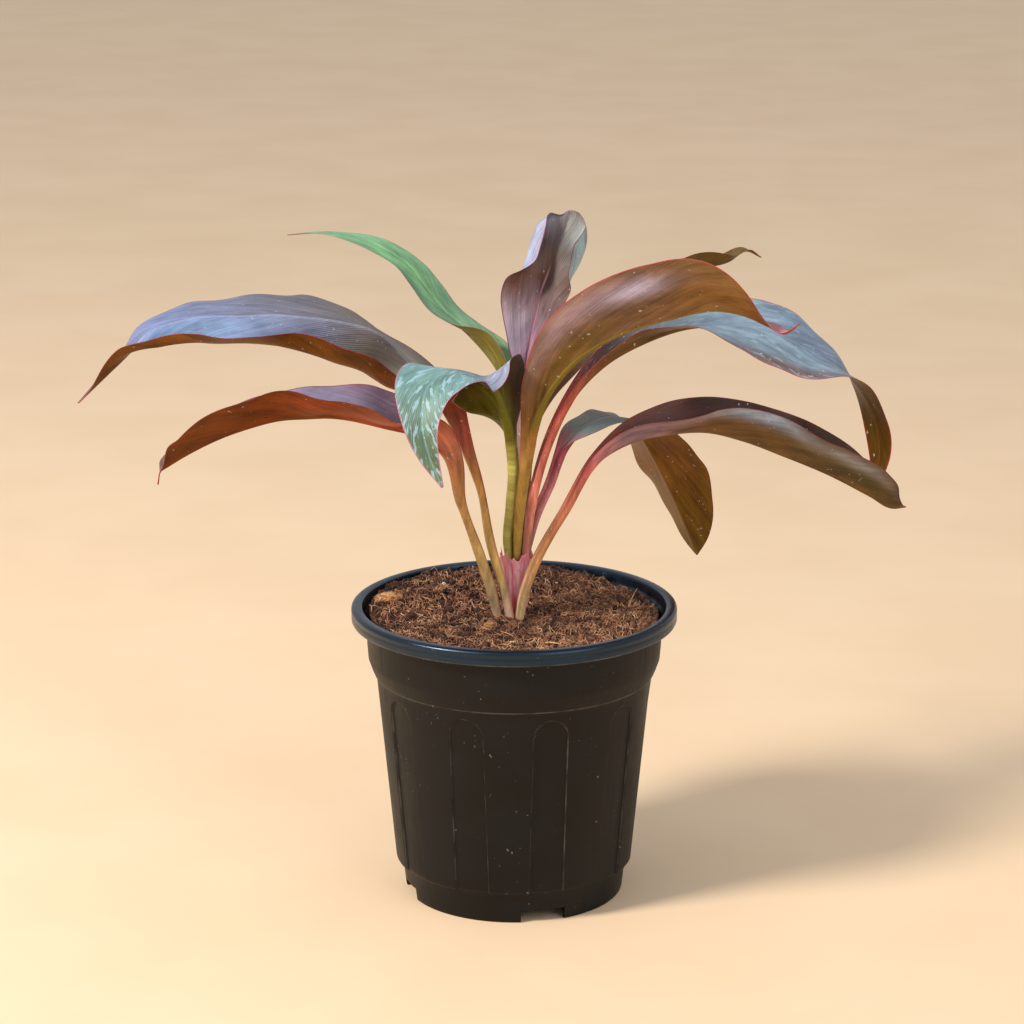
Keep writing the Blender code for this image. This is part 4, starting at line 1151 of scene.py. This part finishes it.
def leaf_faces(rows, columns):
    """Indices of the top and bottom grids, which share their margins, and all faces."""
    top = np.arange(rows * columns).reshape(rows, columns)
    bottom = np.empty_like(top)
    bottom[:, 1:-1] = rows * columns + np.arange(rows * (columns - 2)).reshape(rows, columns - 2)
    bottom[:, 0], bottom[:, -1] = top[:, 0], top[:, -1]
    faces = []
    for grid, flip in ((top, False), (bottom, True)):
        quads = np.stack([grid[:-1, :-1], grid[:-1, 1:], grid[1:, 1:], grid[1:, :-1]], axis=-1).reshape(-1, 4)
        faces += [tuple(quad) for quad in (quads[:, ::-1] if flip else quads).tolist()]
    for row, flip in ((0, False), (rows - 1, True)):
        for j in range(columns - 1):
            loop = [top[row, j], bottom[row, j], bottom[row, j + 1], top[row, j + 1]]
            loop = list(dict.fromkeys(int(i) for i in loop))
            faces.append(tuple(loop[::-1] if flip else loop))
    return faces


def make_leaf(name, leaf, look):
    top, bottom, facts, upper, lower = leaf_shape(*leaf, look)
    rows, columns = top.shape[:2]
    inner = rows * (columns - 2)
    def both(grid):
        return np.concatenate([grid.reshape(rows * columns, -1), grid[:, 1:-1].reshape(inner, -1)])
    points = np.concatenate([top.reshape(-1, 3), bottom[:, 1:-1].reshape(-1, 3)])
    colours = np.concatenate([upper.reshape(-1, 3), lower[:, 1:-1].reshape(-1, 3)])
    under = np.concatenate([np.zeros(rows * columns), np.ones(inner)])
    floats = {key: both(value)[:, 0] for key, value in facts.items()}
    floats["under"] = under
    looks = dict(floats=floats, colours={"paint": colours})
    faces = leaf_faces(rows, columns)
    piece(name + "_look", points, faces, leaf_material(name, look), [name], look["slot"], **looks)


def leaf_material(name, look):
    """Satin leaf: fine oblique veins, a pale midrib, a pink margin line, mottling and dust specks."""
    made, tree, shader = new_material(name + "_skin")
    across, along = attribute(tree, "across"), attribute(tree, "along")
    edge, rib, under = attribute(tree, "edge"), attribute(tree, "rib"), attribute(tree, "under")
    blade = attribute(tree, "blade")
    flat = combined(tree, across, times(tree, along, 0.35), look["seed"] * 7.0)
    mottle = noise(tree, flat, 0.16, 4.0, 0.6)
    out = maths(tree, "ABSOLUTE", across)
    slant = maths(tree, "SUBTRACT", times(tree, out, 0.968), times(tree, along, 0.25))
    streak_at = combined(tree, slant, times(tree, along, 0.02), under)
    streaks = noise(tree, streak_at, 1.5, 3.0, 0.65)
    broad = noise(tree, streak_at, 0.32, 2.0, 0.5)
    veins = maths(tree, "SINE", plus(tree, times(tree, slant, 7.4), times(tree, streaks, 3.0)))
    paint = attribute(tree, "paint", "Color")
    streaky = ramp(tree, streaks, 0.3, 0.75, -0.16, 0.2)
    tone = plus(tree, ramp(tree, mottle, 0.3, 0.72, 0.72, 1.2), streaky)
    tone = plus(tree, tone, ramp(tree, broad, 0.35, 0.65, -0.1, 0.1))
    base = mix(tree, 1.0, paint, combined(tree, tone, tone, tone), "MULTIPLY")
    for place, colour, size, low, high, amount in look.get("flecks", ()):
        spots_at = combined(tree, times(tree, slant, place[0]), times(tree, along, place[1]), 3.0)
        spots = ramp(tree, noise(tree, spots_at, size, 2.0, 0.5), low, high, 0.0, amount)
        spots = times(tree, spots, ramp(tree, under, 0.4, 0.6, 1.0, 0.0))
        spots = times(tree, spots, ramp(tree, blade, 0.0, 0.08))
        base = mix(tree, spots, base, srgb(*colour))
    lit = ramp(tree, rib, 1.15, 0.35)
    sides = ramp(tree, under, 0.4, 0.6)
    rib_colour = mix(tree, sides, srgb(*look["rib"][0]), srgb(*look["rib"][1]))
    strength = times(tree, lit, ramp(tree, blade, 0.0, 0.06))
    rib_end = look.get("rib_end", 1.2)
    strength = times(tree, strength, ramp(tree, blade, rib_end, rib_end - 0.15))
    base = mix(tree, times(tree, strength, look.get("rib_strength", 0.75)), base, rib_colour)
    line = ramp(tree, edge, look.get("margin_width", 0.75), 0.12)
    line = times(tree, line, ramp(tree, blade, -0.4, 0.05, 0.35, 1.0))
    base = mix(tree, line, base, srgb(*look["margin"]))
    place = object_place(tree)
    specks = ramp(tree, noise(tree, place, 620.0, 0.0), 0.80, 0.84, 0.0, look.get("specks", 0.35))
    base = mix(tree, specks, base, srgb(205, 205, 200))
    satin = ramp(tree, mottle, 0.3, 0.7, look["gloss"] - 0.04, look["gloss"] + 0.08)
    rough = plus(tree, satin, ramp(tree, streaks, 0.3, 0.8, 0.0, 0.07))
    sheen = ramp(tree, under, 0.4, 0.6, 0.5, 0.22)
    set_inputs(tree, shader, Base_Color=base, Roughness=rough, IOR=1.45, Specular_IOR_Level=sheen)
    height = plus(tree, times(tree, veins, 0.5), times(tree, broad, 2.4))
    height = plus(tree, height, streaks)
    bump(tree, shader, height, 0.32, 0.22)
    return made


# ---- floor, light and camera ----


def make_floor():
    made, tree, shader = new_material("pale_floor")
    place = object_place(tree)
    tone = noise(tree, place, 9.0, 3.0)
    base = mix(tree, ramp(tree, tone, 0.3, 0.7), srgb(236, 206, 170), srgb(240, 211, 176))
    set_inputs(tree, shader, Base_Color=base, Roughness=0.8)
    mesh = bpy.data.meshes.new("floor")
    size = 12.0
    corners = [(-size, -size, 0), (size, -size, 0), (size, size, 0), (-size, size, 0)]
    mesh.from_pydata(corners, [], [(0, 1, 2, 3)])
    mesh.materials.append(made)
    floor = bpy.data.objects.new("floor", mesh)
    bpy.context.collection.objects.link(floor)


def area_light(name, place, target, size, watts, colour):
    lamp = bpy.data.lights.new(name, "AREA")
    lamp.shape = "DISK"
    lamp.size = size
    lamp.energy = watts
    lamp.color = colour
    thing = bpy.data.objects.new(name, lamp)
    thing.location = place
    thing.rotation_euler = (Vector(target) - Vector(place)).to_track_quat("-Z", "Y").to_euler()
    bpy.context.collection.objects.link(thing)


def make_light():
    world = bpy.data.worlds.new("studio")
    world.use_nodes = True
    sky = world.node_tree.nodes["Background"]
    sky.inputs["Color"].default_value = (0.92, 0.95, 1.0, 1.0)
    sky.inputs["Strength"].default_value = 0.62
    bpy.context.scene.world = world
    area_light("key", (-1.55, -0.95, 1.5), (0, 0, 0.18), 0.55, 58, (1.0, 0.93, 0.84))
    area_light("fill", (1.3, -1.6, 1.1), (0, 0, 0.18), 1.6, 12, (1.0, 0.97, 0.93))
    bpy.context.scene.view_settings.view_transform = "Standard"


def make_camera():
    lens = bpy.data.cameras.new("camera")
    lens.lens = 120.0
    lens.sensor_width = 36.0
    camera = bpy.data.objects.new("camera", lens)
    camera.location = (-0.001, -1.506, 0.590)
    camera.rotation_euler = (radians(90 - 15.2), 0, 0)
    bpy.context.collection.objects.link(camera)
    bpy.context.scene.camera = camera


SPHERES = {divisions: unit_sphere(divisions) for divisions in (1, 2)}

make_camera()
make_light()
make_floor()
make_pot()
make_soil()
make_crumbs()
make_fibres()
make_perlite()
make_straws()
for chip_name, chip in CHIPS.items():
    make_chip(chip_name, *chip)
make_stem()
make_sheath()
for leaf_name, leaf in LEAVES.items():
    make_leaf(leaf_name, leaf, LOOKS[leaf_name])
